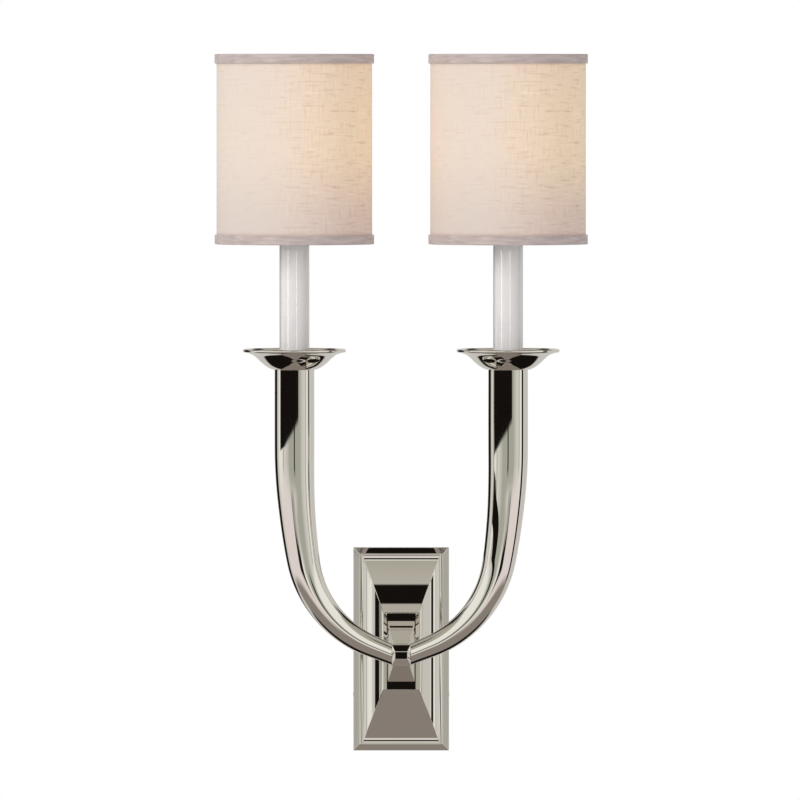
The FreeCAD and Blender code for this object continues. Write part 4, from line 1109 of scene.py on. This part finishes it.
def cove(back, depth, base, tip):
    """Sections of a concave pyramid: (depth, width, height), in mm."""
    first, last = math.radians(COVE_START), math.radians(COVE_END)
    sections = []
    for step in range(COVE_STEPS + 1):
        angle = first + (last - first) * step / COVE_STEPS
        rise = (math.cos(first) - math.cos(angle)) / (math.cos(first) - math.cos(last))
        draw = (math.sin(angle) - math.sin(first)) / (math.sin(last) - math.sin(first))
        size = [b - (b - t) * draw for b, t in zip(base, tip)]
        sections.append((back + depth * rise, *size))
    return sections


def stepped(name, sections):
    """A skin over (depth, width, height) rectangles, closed at the front and at the back."""
    shaped = bmesh.new()
    loops = []
    for depth, width, tall in sections:
        halves = (width / 2 * MM, tall / 2 * MM)
        loops.append([shaped.verts.new((x * halves[0], -depth * MM, z * halves[1])) for x, z in CORNERS])
    skin(shaped, loops)
    return link_mesh(shaped, name)


print("a cove turns from", COVE_START, "to", COVE_END, "degrees")

# %% [markdown]
# ### The plate
#
# The plate is a shell. Its outside steps in from a bevelled border over a small bead to the concave
# pyramid, and the inside follows it at the wall's thickness. A rim on the wall joins the two skins.

# %% Sections of the plate
PLATE_SIZE = (71.0, 151.0)
PLATE_STEPS = [(0, 0), (7.5, 0), (10.5, 4.5), (12.4, 4.7), (12.5, 5.3), (12.5, 7.2)]
PLATE_HOLLOW = [(5.5, 2.0), (0, 2.0)]
COVE_DEPTH = 26.0
COLLAR_SIZE = (26.6, 57.2)
INNER_COVE_BACK, INNER_COVE_INSET = 9.5, 9.2
TIP_WALL = 2.0


def inset_from(size, inset):
    return [length - 2 * inset for length in size]


def plate_section(depth, inset):
    return (depth, *inset_from(PLATE_SIZE, inset))


def plate_skins():
    bead_depth, bead_inset = PLATE_STEPS[-1]
    outer_cove = cove(bead_depth, COVE_DEPTH, inset_from(PLATE_SIZE, bead_inset), COLLAR_SIZE)
    outside = [plate_section(*step) for step in PLATE_STEPS] + outer_cove[1:]
    inner_base, inner_tip = inset_from(PLATE_SIZE, INNER_COVE_INSET), inset_from(COLLAR_SIZE, TIP_WALL)
    inner_cove = cove(INNER_COVE_BACK, COVE_DEPTH, inner_base, inner_tip)
    inside = inner_cove[::-1] + [plate_section(*step) for step in PLATE_HOLLOW]
    return stepped("plate_outer_skin", outside), stepped("plate_inner_skin", inside)


print("plate", *PLATE_SIZE, "mm, with", len(PLATE_STEPS), "steps up to the pyramid")

# %% [markdown]
# Both skins end in a lid on the wall. The lids are taken away and four faces join the edges that are
# left, so that the shell is closed and its wall has a thickness all round.

# %% Plate
def plate_mesh():
    """The outside skin, the inside skin and the rim on the wall that joins them."""
    shaped = bmesh.new()
    for half in plate_skins():
        shaped.from_mesh(half)
    on_wall = [f for f in shaped.faces if all(abs(v.co.y) < DOUBLED for v in f.verts)]
    rims = [list(face.verts) for face in on_wall]
    bmesh.ops.delete(shaped, geom=on_wall, context="FACES_ONLY")
    outer, inner = sorted(rims, key=lambda verts: -abs(verts[0].co.x))
    place = {(v.co.x > 0, v.co.z > 0): v for v in inner}
    for step in range(len(CORNERS)):
        a, b = outer[step], outer[(step + 1) % len(CORNERS)]
        shaped.faces.new((a, b, place[b.co.x > 0, b.co.z > 0], place[a.co.x > 0, a.co.z > 0]))
    return link_mesh(shaped, "plate_outside")


plate = finish_piece("plate", plate_mesh(), "fixture", NICKEL, ["backplate"])
print("plate has", len(plate.data.polygons), "faces")

# %% [markdown]
# ### The neck and the hub
#
# The neck is a second casting: a flat collar, a straight pyramid and a short stalk. The collar's long
# edges slope by a fraction of a millimetre, so they mirror the sides of the room and draw bright lines
# beside its dark face. The hub is a small block with a chamfered front. A narrow bevel catches the light
# along each edge of all three castings.

# %% Neck and hub
COLLAR = {"back": 38.5, "front": 41.0, "flank": 2.6, "flank_drop": 0.65}
NECK = [(41, 20, 45), (76, 10.8, 12.8), (80, 10.8, 12.8)]
HUB = [(80, 14, 15.4), (96.5, 14, 15.4), (100, 9.4, 5.8)]
EDGE_BEVEL = 0.35 * MM
BEVEL_ANGLE = math.radians(25)


def neck_mesh():
    """The pyramid and stalk stand on a collar whose long edges slope, so they mirror the room's sides."""
    shaped = bmesh.new()
    shaped.from_mesh(stepped("neck_pyramid", NECK))
    half, tall = COLLAR_SIZE[0] / 2, COLLAR_SIZE[1] / 2
    shoulder = COLLAR["front"] - COLLAR["flank_drop"]
    outline = [(-half, COLLAR["back"]), (-half, shoulder), (COLLAR["flank"] - half, COLLAR["front"])]
    outline += [(-x, depth) for x, depth in reversed(outline)]
    ends = [[shaped.verts.new((x * MM, -depth * MM, z * MM)) for x, depth in outline] for z in (-tall, tall)]
    skin(shaped, ends)
    return link_mesh(shaped, "plate_neck")


def ease_edges(piece, width):
    bevel = piece.modifiers.new("eased_edges", "BEVEL")
    bevel.width, bevel.segments = width, 2
    bevel.limit_method, bevel.angle_limit = "ANGLE", BEVEL_ANGLE
    bevel.harden_normals = True


neck = finish_piece("plate_neck", neck_mesh(), "fixture", NICKEL, ["neck"], FLAT_FACED)
hub = finish_piece("hub", stepped("hub", HUB), "fixture", NICKEL, ["hub_block"])
for piece in (plate, neck, hub):
    ease_edges(piece, EDGE_BEVEL)
print("edges eased by", round(EDGE_BEVEL / MM, 2), "mm")

# %% [markdown]
# ### Shades
#
# A hard shade is linen glued to a thin plastic liner and rolled into a drum, with a lapped seam at the
# back. Tape is folded over both edges, where a wire hoop stiffens them. The tape is not quite even, so
# its profile ripples by a tenth of a millimetre.

# %% Sections of the drum and the tape
LINEN_THICK = 0.35 * MM
LINER_THICK = 0.6 * MM
DRUM_LEVELS = 12
TAPE_RADIUS = half_width("right_shade_bottom_trim")
TAPE_HEIGHT = 7.0 * MM
TAPE_FOLD = 0.75 * MM
TAPE_BEAD = 0.9 * MM
TAPE_CLEAR = 0.05 * MM
TAPE_CORNER = 0.25 * MM
TAPE_LIP = 0.1 * MM
TAPE_FLAT = [(0.12, 3.4), (0.05, 5.2)]  # mm in from the widest, mm up from the edge
BEAD_ANGLES, FOLD_ANGLES = (0.5, 1.0, 1.4), (0.2, 0.8, 1.4)
RIPPLE, RIPPLE_INSET = 0.045 * MM, 0.12 * MM
# each wave: (times round, climb in radians for each metre, phase, strength)
TAPE_WAVES = [(7, 300.0, 0.0, 1.0), (12, 0.0, 1.3, 1.0), (29, 0.0, 2.1, 0.6)]


def tube_profile(outer, thick):
    """The drum's wall, from its foot to its top and back down inside."""
    outside = [(outer, DRUM_LOW + (DRUM_HIGH - DRUM_LOW) * i / DRUM_LEVELS) for i in range(DRUM_LEVELS + 1)]
    return outside + [(outer - thick, z) for _, z in reversed(outside)]


def tape_profile(edge, inward):
    """The folded tape's section; edge is the drum's end and inward points into the drum, up or down."""
    outer, wall, bead, fold = TAPE_RADIUS, DRUM_RADIUS + TAPE_CLEAR, TAPE_BEAD, TAPE_BEAD / 2
    bore = DRUM_RADIUS - LINEN_THICK - LINER_THICK - TAPE_CLEAR
    path = [(bore, TAPE_FOLD), (bore, TAPE_CORNER), (bore + TAPE_CORNER, 0.0), (outer - bead, 0.0)]
    path += [(outer - bead + bead * math.sin(a), bead - bead * math.cos(a)) for a in BEAD_ANGLES]
    path += [(outer - inset * MM, level * MM) for inset, level in TAPE_FLAT]
    fold_r, fold_z = outer - fold, TAPE_HEIGHT - fold
    path += [(fold_r + fold * math.cos(a), fold_z + fold * math.sin(a)) for a in FOLD_ANGLES]
    path += [(wall, TAPE_HEIGHT - TAPE_LIP), (wall, TAPE_FOLD)]
    return [(r, edge + inward * z) for r, z in path]


def uneven(angle, level):
    """A slow ripple inwards, so the tape never leaves the frame's box."""
    wave = 0.0
    for times_round, climb, phase, strength in TAPE_WAVES:
        wave += strength * math.sin(times_round * angle + climb * level + phase)
    return RIPPLE * wave - RIPPLE_INSET


print("tape", round(TAPE_HEIGHT / MM, 1), "mm high on a drum", round(2 * DRUM_RADIUS / MM, 1), "mm wide")

# %% [markdown]
# The linen is a thin tube once round the drum, as high as the drum between the tapes' ends, and it lies on
# the liner.

# %% Linen, liners and tapes
TAPE_STEPS = 192

for side, sign in SIDES.items():
    x, shade_body = sign * CANDLE_X, f"{side}_shade"
    name = f"{side}_linen_drum"
    cloth = turned(name, tube_profile(DRUM_RADIUS, LINEN_THICK), x, ARM_Y)
    drum = finish_piece(name, cloth, shade_body, LINEN[side], [f"{side}_shade_drum"])
    liner = turned(f"{side}_shade_liner", tube_profile(DRUM_RADIUS - LINEN_THICK, LINER_THICK), x, ARM_Y)
    finish_piece(f"{side}_shade_liner", liner, shade_body, LINER_WHITE)
    for end, edge, inward in (("bottom", SHADE_LOW, 1), ("top", SHADE_HIGH, -1)):
        name = f"{side}_{end}_tape"
        tape = turned(name, tape_profile(edge, inward), x, ARM_Y, TAPE_STEPS, ripple=uneven)
        finish_piece(name, tape, shade_body, TAPE, [f"{side}_shade_{end}_trim"])

# %% [markdown]
# ## Wires
#
# Clips, spiders and filaments are bent or repeated wires, so node trees grow them. One tree runs a round
# wire along a path and rounds its corners. The other sets spokes evenly between a hub and a ring.

# %% Helpers for wires
def new_tree(name, inputs):
    """A geometry node group with a Geometry output and the given (name, kind, start) inputs."""
    group = bpy.data.node_groups.new(name, "GeometryNodeTree")
    for socket, kind, start in inputs:
        made = group.interface.new_socket(socket, in_out="INPUT", socket_type=f"NodeSocket{kind}")
        if start is not None:
            made.default_value = start
    group.interface.new_socket("Geometry", in_out="OUTPUT", socket_type="NodeSocketGeometry")
    return group, node(group, "NodeGroupInput").outputs, node(group, "NodeGroupOutput").inputs[0]


def circle(tree, radius, steps):
    sizes = {"Resolution": steps, "Radius": radius}
    return node(tree, "GeometryNodeCurvePrimitiveCircle", None, sizes).outputs[0]


def swept(tree, path, profile):
    ends = {"Curve": path, "Profile Curve": profile, "Fill Caps": True}
    return node(tree, "GeometryNodeCurveToMesh", None, ends).outputs[0]


def finished(tree, geometry, material, result):
    """The last node of a tree: it sets the material and feeds the output."""
    made = node(tree, "GeometryNodeSetMaterial", None, {"Geometry": geometry, "Material": material})
    tree.links.new(made.outputs[0], result)


WIRE_STEPS = 12
print("a wire's section has", WIRE_STEPS, "steps")

# %% [markdown]
# ### A bent wire
#
# Spring wire is bent over pins, so its corners are arcs. Fillet Curve rounds each corner of the path, and
# Curve to Mesh sweeps a small circle along it.

# %% Bent wire
CORNER_STEPS = 10


def bent_wire():
    group, given, result = new_tree("bent_wire", [
        ("Path", "Geometry", None), ("Wire Radius", "Float", 0.8 * MM), ("Corner Radius", "Float", 3.0 * MM),
        ("Material", "Material", None)])
    path = node(group, "GeometryNodeMeshToCurve", None, {0: given["Path"]}).outputs[0]
    rounded = node(group, "GeometryNodeFilletCurve", None, {
        "Curve": path, "Radius": given["Corner Radius"], "Limit Radius": True})
    if "Mode" in rounded.inputs:
        rounded.inputs["Mode"].default_value = "Poly"
    else:
        rounded.mode = "POLY"
    rounded.inputs["Count"].default_value = CORNER_STEPS
    section = circle(group, given["Wire Radius"], WIRE_STEPS)
    finished(group, swept(group, rounded.outputs[0], section), given["Material"], result)
    return group


BENT_WIRE = bent_wire()
print("bent wire uses", len(BENT_WIRE.nodes), "nodes")

# %% [markdown]
# ### A spoked ring
#
# The spider that carries the shade is a washer with three wires that rise to a ring. Instance on Points
# sets the same spoke on one point per spoke, each turned by its own number times the step.

# %% Spoked ring
RING_STEPS = 128
HUB_STEPS = 64


def spoked_ring():
    group, given, result = new_tree("spoked_ring", [
        ("Ring Radius", "Float", 55.0 * MM), ("Ring Level", "Float", 33.0 * MM),
        ("Ring Wire", "Float", 1.25 * MM), ("Hub Radius", "Float", 9.5 * MM),
        ("Hub Bore", "Float", 2.3 * MM), ("Hub Thickness", "Float", 2.4 * MM),
        ("Spokes", "Int", 3), ("Spoke Wire", "Float", 1.1 * MM), ("Material", "Material", None)])
    hub_radius, thickness = given["Hub Radius"], given["Hub Thickness"]

    def place(x, z):
        return node(group, "ShaderNodeCombineXYZ", None, {"X": x, "Z": z}).outputs[0]

    def raised(geometry, level):
        moved_by = {"Geometry": geometry, "Translation": place(0.0, level)}
        return node(group, "GeometryNodeTransform", None, moved_by).outputs[0]

    ring_path = circle(group, given["Ring Radius"], RING_STEPS)
    ring_section = circle(group, given["Ring Wire"], WIRE_STEPS)
    ring = raised(swept(group, ring_path, ring_section), given["Ring Level"])
    hub_middle = maths(group, "MULTIPLY", maths(group, "ADD", hub_radius, given["Hub Bore"]), 0.5)
    hub_width = maths(group, "SUBTRACT", hub_radius, given["Hub Bore"])
    hub_level = maths(group, "MULTIPLY", thickness, 0.5)
    hub_section = node(group, "GeometryNodeCurvePrimitiveQuadrilateral", None, {
        "Width": hub_width, "Height": thickness}).outputs[0]
    washer = raised(swept(group, circle(group, hub_middle, HUB_STEPS), hub_section), hub_level)
    line = node(group, "GeometryNodeCurvePrimitiveLine", None, {
        "Start": place(maths(group, "SUBTRACT", hub_radius, thickness), hub_level),
        "End": place(given["Ring Radius"], given["Ring Level"])}).outputs[0]
    spoke = swept(group, line, circle(group, given["Spoke Wire"], WIRE_STEPS))
    seats = node(group, "GeometryNodeMeshLine", None, {"Count": given["Spokes"], "Offset": (0, 0, 0)})
    step = maths(group, "DIVIDE", 2 * math.pi, given["Spokes"])
    turned_by = maths(group, "MULTIPLY", node(group, "GeometryNodeInputIndex").outputs[0], step)
    spokes = node(group, "GeometryNodeInstanceOnPoints", None, {
        "Points": seats.outputs[0], "Instance": spoke,
        "Rotation": node(group, "ShaderNodeCombineXYZ", None, {"Z": turned_by}).outputs[0]})
    spokes = node(group, "GeometryNodeRealizeInstances", None, {0: spokes.outputs[0]})
    joined = node(group, "GeometryNodeJoinGeometry")
    for part in (spokes.outputs[0], washer, ring):
        group.links.new(part, joined.inputs[0])
    finished(group, joined.outputs[0], given["Material"], result)
    return group


SPOKED_RING = spoked_ring()
print("spoked ring uses", len(SPOKED_RING.nodes), "nodes")

# %% [markdown]
# ### Growing a mesh
#
# A tree is run by a modifier on a throwaway object. Its inputs are set by their identifiers, and the
# evaluated result is kept as a plain mesh, which then goes through the same finishing as all others.

# %% Grown meshes
def grow(name, group, settings, start=None):
    """Runs a node tree on a mesh and returns the plain mesh that comes out."""
    base = bpy.data.objects.new(name, start or bpy.data.meshes.new(f"{name}_start"))
    bpy.context.scene.collection.objects.link(base)
    modifier = base.modifiers.new("grow", "NODES")
    modifier.node_group = group
    identifiers = {
        item.name: item.identifier for item in group.interface.items_tree
        if item.item_type == "SOCKET" and item.in_out == "INPUT"}
    for socket, content in settings.items():
        modifier[identifiers[socket]] = content
    base.update_tag()
    bpy.context.view_layer.update()
    evaluated = base.evaluated_get(bpy.context.evaluated_depsgraph_get())
    mesh = bpy.data.meshes.new_from_object(evaluated)
    mesh.name = name
    bpy.data.objects.remove(base)
    return mesh


def path_mesh(name, points, joins):
    mesh = bpy.data.meshes.new(name)
    mesh.from_pydata(points, joins, [])
    return mesh


def chain(count, start=0):
    """Joins count points in a row, from the one numbered start."""
    return [(start + i, start + i + 1) for i in range(count - 1)]


print("helpers:", grow.__name__, path_mesh.__name__, chain.__name__)

# %% [markdown]
# ### Spiders, hoops and rivets
#
# The spider's washer turns on a rivet in the clip's plate, which is the shade's own joint. The lower hoop
# is a plain ring of the same wire, and the rivet has a domed head over the washer.

# %% Sizes of spiders, hoops and rivets
SPIDER_LOW, SPIDER_HIGH = span("right_shade_spider", 2)
RING_WIRE = 1.25 * MM
RING_RADIUS = half_width("right_shade_bottom_ring") - RING_WIRE
BOTTOM_RING_LEVEL = middle("right_shade_bottom_ring").z
RIVET_LOW, RIVET_HIGH = span("right_clip_rivet", 2)
RIVET_PIN, RIVET_HEAD, HEAD_RISE = 2.2 * MM, 4.5 * MM, 1.4 * MM
DOME_ANGLES = (0.0, 0.3, 0.6, 0.9, 1.2, 1.4)


def moved(mesh, x, z):
    for vertex in mesh.vertices:
        vertex.co += Vector((x, ARM_Y, z))
    return mesh


def rivet_profile():
    under_head = RIVET_HIGH - HEAD_RISE
    dome = [(RIVET_HEAD * math.cos(a), under_head + HEAD_RISE * math.sin(a)) for a in DOME_ANGLES]
    return [(0.0, RIVET_LOW), (RIVET_PIN, RIVET_LOW), (RIVET_PIN, under_head), *dome, (0.0, RIVET_HIGH)]


print("rivets", round((RIVET_HIGH - RIVET_LOW) / MM, 1), "mm long")

# %% [markdown]
# The spider is grown at the origin and then moved on to its rivet, as a modifier works in the object's
# own space. The hoop's section is a circle left open by one step, which the turning closes.

# %% Spiders, hoops and rivets
HOOP_ARC = (0, 330, 11)
RIVET_STEPS = 48

for side, sign in SIDES.items():
    x, shade_body = sign * CANDLE_X, f"{side}_shade"
    spider = grow(f"{side}_spider", SPOKED_RING, {
        "Ring Radius": RING_RADIUS, "Ring Level": SPIDER_HIGH - RING_WIRE - SPIDER_LOW,
        "Ring Wire": RING_WIRE, "Material": STEEL})
    spider = moved(spider, x, SPIDER_LOW)
    finish_piece(f"{side}_spider", spider, shade_body, STEEL, [f"{side}_shade_spider"])
    hoop_profile = arc((RING_RADIUS, BOTTOM_RING_LEVEL), RING_WIRE, *HOOP_ARC)
    hoop = turned(f"{side}_bottom_hoop", hoop_profile, x, ARM_Y)
    finish_piece(f"{side}_bottom_hoop", hoop, shade_body, STEEL, [f"{side}_shade_bottom_ring"])
    rivet = turned(f"{side}_rivet", rivet_profile(), x, ARM_Y, RIVET_STEPS, closed=False)
    finish_piece(f"{side}_rivet", rivet, f"{side}_clip", STEEL, [f"{side}_clip_rivet"])
print("hoops", round(2 * RING_RADIUS / MM, 1), "mm across")

# %% [markdown]
# ## Bulbs and their clips
#
# A candle bulb is blown glass: a narrow foot that swells into a round belly and then runs up a straight
# flank to a small round point. The flank touches both spheres, so its slope follows from their sizes.

# %% Glass
GLASS_LOW, GLASS_HIGH = span("right_bulb_glass", 2)
BELLY = half_width("right_bulb_glass")
WIDEST = GLASS_LOW + 26 * MM
POINT = 2.6 * MM
POINT_LEVEL = GLASS_HIGH - POINT
FLANK = math.degrees(math.asin((BELLY - POINT) / (POINT_LEVEL - WIDEST)))
GLASS_WALL = 0.7 * MM
GLASS_FOOT = [(5.6, 0.0), (6.3, 4.0), (8.5, 9.0)]
# arcs from an angle to an angle, in degrees above level, and their steps
BELLY_JOIN = (-48, -46, 1)
BELLY_START, BELLY_STEPS = -44, 20
TIP_END, TIP_STEPS = 82, 8
INSIDE_TIP = 0.2 * MM


def glass_profile():
    outside = [(r * MM, GLASS_LOW + z * MM) for r, z in GLASS_FOOT]
    outside = smooth_through(outside + arc((0, WIDEST), BELLY, *BELLY_JOIN), 5)
    outside += arc((0, WIDEST), BELLY, BELLY_START, FLANK, BELLY_STEPS)
    outside += arc((0, POINT_LEVEL), POINT, FLANK, TIP_END, TIP_STEPS)
    inside = [(max(r - GLASS_WALL, INSIDE_TIP), z) for r, z in reversed(outside[:-2])]
    inside[0] = (0.0, GLASS_HIGH - 2 * GLASS_WALL)
    return [*outside, (0.0, GLASS_HIGH), *inside]


print("flank leans", round(FLANK), "degrees")

# %% [markdown]
# ### The screw cap
#
# The cap's thread is rolled into thin sheet, so it is a wave and not a cut. A ripple that depends on both
# the height and the angle climbs one pitch a turn and runs out at both ends.

# %% Cap
CAP_LOW, CAP_HIGH = span("right_bulb_cap", 2)
CAP_RADIUS = half_width("right_bulb_cap")
CAP_LEVELS = 60
CONTACT_RADIUS, CONTACT_EDGE, CONTACT_RISE = 2.2 * MM, 0.6 * MM, 1.8 * MM
SHOULDER_RISE = 4.8 * MM
THREAD_PITCH = 3.0 * MM
THREAD_RISE = 0.35 * MM
THREAD_LOW, THREAD_HIGH = CAP_LOW + 5.5 * MM, CAP_HIGH - 3.0 * MM


def cap_profile():
    shoulder, body = CAP_LOW + SHOULDER_RISE, CAP_RADIUS - THREAD_RISE
    wall = [(body, shoulder + (CAP_HIGH - shoulder) * i / CAP_LEVELS) for i in range(CAP_LEVELS + 1)]
    contact = [(0, CAP_LOW), (CONTACT_RADIUS - CONTACT_EDGE, CAP_LOW)]
    contact += [(CONTACT_RADIUS, CAP_LOW + rise) for rise in (CONTACT_EDGE, CONTACT_RISE)]
    return [*contact, *wall, (0, CAP_HIGH)]


def thread(angle, level):
    """The rolled thread: a wave that climbs one pitch a turn and runs out at both ends."""
    if not THREAD_LOW < level < THREAD_HIGH:
        return 0.0
    share = min(1.0, (level - THREAD_LOW) / THREAD_PITCH, (THREAD_HIGH - level) / THREAD_PITCH)
    return THREAD_RISE * share * math.sin(2 * math.pi * level / THREAD_PITCH - angle)


print("thread has", round((THREAD_HIGH - THREAD_LOW) / THREAD_PITCH, 1), "turns")

# %% [markdown]
# ### The bulbs
#
# Two straight filaments stand on a glass mount. They are sticks of the same bent wire as the clips, with
# no corners, and with their own glow.

# %% Bulbs
MOUNT = [(0.0, 0.0), (4.4, 0.0), (3.4, 1.4), (2.9, 4.0), (2.8, 9.0), (3.0, 11.4), (2.4, 12.0), (0.0, 12.0)]
FILAMENT_FOOT = GLASS_LOW + 12 * MM
FILAMENT_RISE = 30 * MM
FILAMENT_STEP = 1.5 * MM
FILAMENT_WIRE = 0.75 * MM
GLASS_STEPS, CAP_STEPS, MOUNT_STEPS = 96, 64, 48

for side, sign in SIDES.items():
    x, bulb_body = sign * CANDLE_X, f"{side}_bulb"
    glass = turned(f"{side}_glass", glass_profile(), x, ARM_Y, GLASS_STEPS)
    finish_piece(f"{side}_glass", glass, bulb_body, BULB_GLASS, [f"{side}_bulb_glass"])
    cap = turned(f"{side}_cap", cap_profile(), x, ARM_Y, CAP_STEPS, closed=False, ripple=thread)
    finish_piece(f"{side}_cap", cap, bulb_body, CAP_METAL, [f"{side}_bulb_cap"])
    stem = [(r * MM, GLASS_LOW + z * MM) for r, z in MOUNT]
    mount = turned(f"{side}_glass_mount", stem, x, ARM_Y, MOUNT_STEPS, closed=False)
    finish_piece(f"{side}_glass_mount", mount, bulb_body, BULB_GLASS)
    posts = [(x + step * FILAMENT_STEP, ARM_Y, FILAMENT_FOOT + rise * FILAMENT_RISE)
             for step in (-1, 1) for rise in (0, 0.5, 1)]
    path = path_mesh(f"{side}_filament_path", posts, chain(3) + chain(3, 3))
    sticks = grow(f"{side}_filaments", BENT_WIRE, {
        "Wire Radius": FILAMENT_WIRE, "Corner Radius": 0.0, "Material": GLOW}, path)
    finish_piece(f"{side}_filaments", sticks, bulb_body, GLOW, [f"{side}_bulb_filament"])
print("bulbs", round((GLASS_HIGH - CAP_LOW) / MM), "mm long")

# %% [markdown]
# ### The clips
#
# The clip's fingers are loops of spring wire that follow the glass: the glass's own profile, plus a small
# gap, gives their bends. They hang from a small plate with a rounded edge, which carries the rivet.

# %% Clip fingers
CLIP_LOW, CLIP_HIGH = span("right_shade_clip", 2)
CLIP_WIRE = 0.8 * MM
CLIP_GAP = 0.4 * MM
CLIP_PLATE = 1.4 * MM
CLIP_PLATE_RADIUS = 8.5 * MM
FINGER_HALF_WIDTH = 6.0 * MM
FINGER_BENDS = 8
FINGER_SLACK = 1.2 * MM
GRIP_LEVEL = CLIP_LOW + CLIP_WIRE
KNEE_LEVEL = GRIP_LEVEL + 21 * MM
UNDER_PLATE = CLIP_HIGH - CLIP_PLATE


def glass_reach(level):
    """The glass's outer radius at a level, on the belly or on the flank."""
    flank = math.radians(FLANK)
    if level < WIDEST + BELLY * math.sin(flank):
        return math.sqrt(BELLY**2 - (level - WIDEST) ** 2)
    return (BELLY - (level - WIDEST) * math.sin(flank)) / math.cos(flank)


def finger_side():
    """One leg of a finger, from the plate down to the belly: (reach along X, level)."""
    root = math.sqrt((CLIP_PLATE_RADIUS - 2 * CLIP_WIRE) ** 2 - FINGER_HALF_WIDTH**2)
    leg = [(root, UNDER_PLATE + CLIP_WIRE / 2)]
    for step in range(FINGER_BENDS + 1):
        level = KNEE_LEVEL + (GRIP_LEVEL - KNEE_LEVEL) * step / FINGER_BENDS
        reach = glass_reach(level) + CLIP_GAP + CLIP_WIRE
        slack = FINGER_SLACK * (1 - step / FINGER_BENDS)
        leg.append((math.sqrt(reach**2 - FINGER_HALF_WIDTH**2) + slack, level))
    return leg


def clip_paths(x):
    """Two loops of wire: down along the glass, across under the belly, and up again."""
    leg, points, joins = finger_side(), [], []
    for sign in SIDES.values():
        down = [(x + sign * reach, ARM_Y + FINGER_HALF_WIDTH, level) for reach, level in leg]
        up = [(x + sign * reach, ARM_Y - FINGER_HALF_WIDTH, level) for reach, level in reversed(leg)]
        joins += chain(len(down + up), len(points))
        points += down + up
    return points, joins


print("fingers reach", round(max(reach for reach, _ in finger_side()) / MM, 1), "mm from the axis")

# %% [markdown]
# The plate at the top is stamped from sheet, so only its rim is eased. The fingers' roots lie on its
# underside, where they would be spot welded.

# %% Clips
CLIP_CORNER = 3.5 * MM
CLIP_PLATE_EDGE = 0.3 * MM
CLIP_PLATE_STEPS = 64


def clip_plate_profile():
    radius, edge = CLIP_PLATE_RADIUS, CLIP_PLATE_EDGE
    lower = [(0.0, UNDER_PLATE), (radius - edge, UNDER_PLATE), (radius, UNDER_PLATE + edge)]
    return lower + [(radius, CLIP_HIGH - edge), (radius - edge, CLIP_HIGH), (0.0, CLIP_HIGH)]


for side, sign in SIDES.items():
    x, clip_body = sign * CANDLE_X, f"{side}_clip"
    path = path_mesh(f"{side}_clip_path", *clip_paths(x))
    fingers = grow(f"{side}_clip_fingers", BENT_WIRE, {
        "Wire Radius": CLIP_WIRE, "Corner Radius": CLIP_CORNER, "Material": STEEL}, path)
    finish_piece(f"{side}_clip_fingers", fingers, clip_body, STEEL, [f"{side}_shade_clip"])
    top = turned(f"{side}_clip_plate", clip_plate_profile(), x, ARM_Y, CLIP_PLATE_STEPS, closed=False)
    finish_piece(f"{side}_clip_plate", top, clip_body, STEEL)
print("clips", round((CLIP_HIGH - CLIP_LOW) / MM, 1), "mm tall")

# %% [markdown]
# ## Finishes for the CAD nodes that stay
#
# Brackets, nuts, screws and leads hide inside. Their own meshes are right, so they only get a finish,
# which the record names by material slot.

# %% Finishes by material slot
FINISHES = {
    "nickel": NICKEL, "steel": STEEL, "screw_steel": SCREW_STEEL, "earth_green": EARTH_GREEN,
    "terminal_plastic": TERMINAL_PLASTIC, "brass": BRASS, "candle_white": CANDLE_WHITE,
    "socket_black": SOCKET_BLACK, "lead_insulation": LEAD_PLASTIC, "cap_metal": CAP_METAL,
    "clear_glass": BULB_GLASS, "filament": GLOW, "linen": LINER_WHITE, "tape": TAPE,
}
SLOT_OF = {row["node"]: row["material_slot"] for row in frame["record"]["subparts"]}
for name, part in frame["nodes"].items():
    part.data.materials.clear()
    part.data.materials.append(FINISHES[SLOT_OF[name]])
print("finished", len(frame["nodes"]), "CAD nodes from", len(FINISHES), "slots")

# %% [markdown]
# ## View settings
#
# The Standard view shows a colour about as it is written.

# %% View settings
bpy.context.scene.view_settings.view_transform = "Standard"
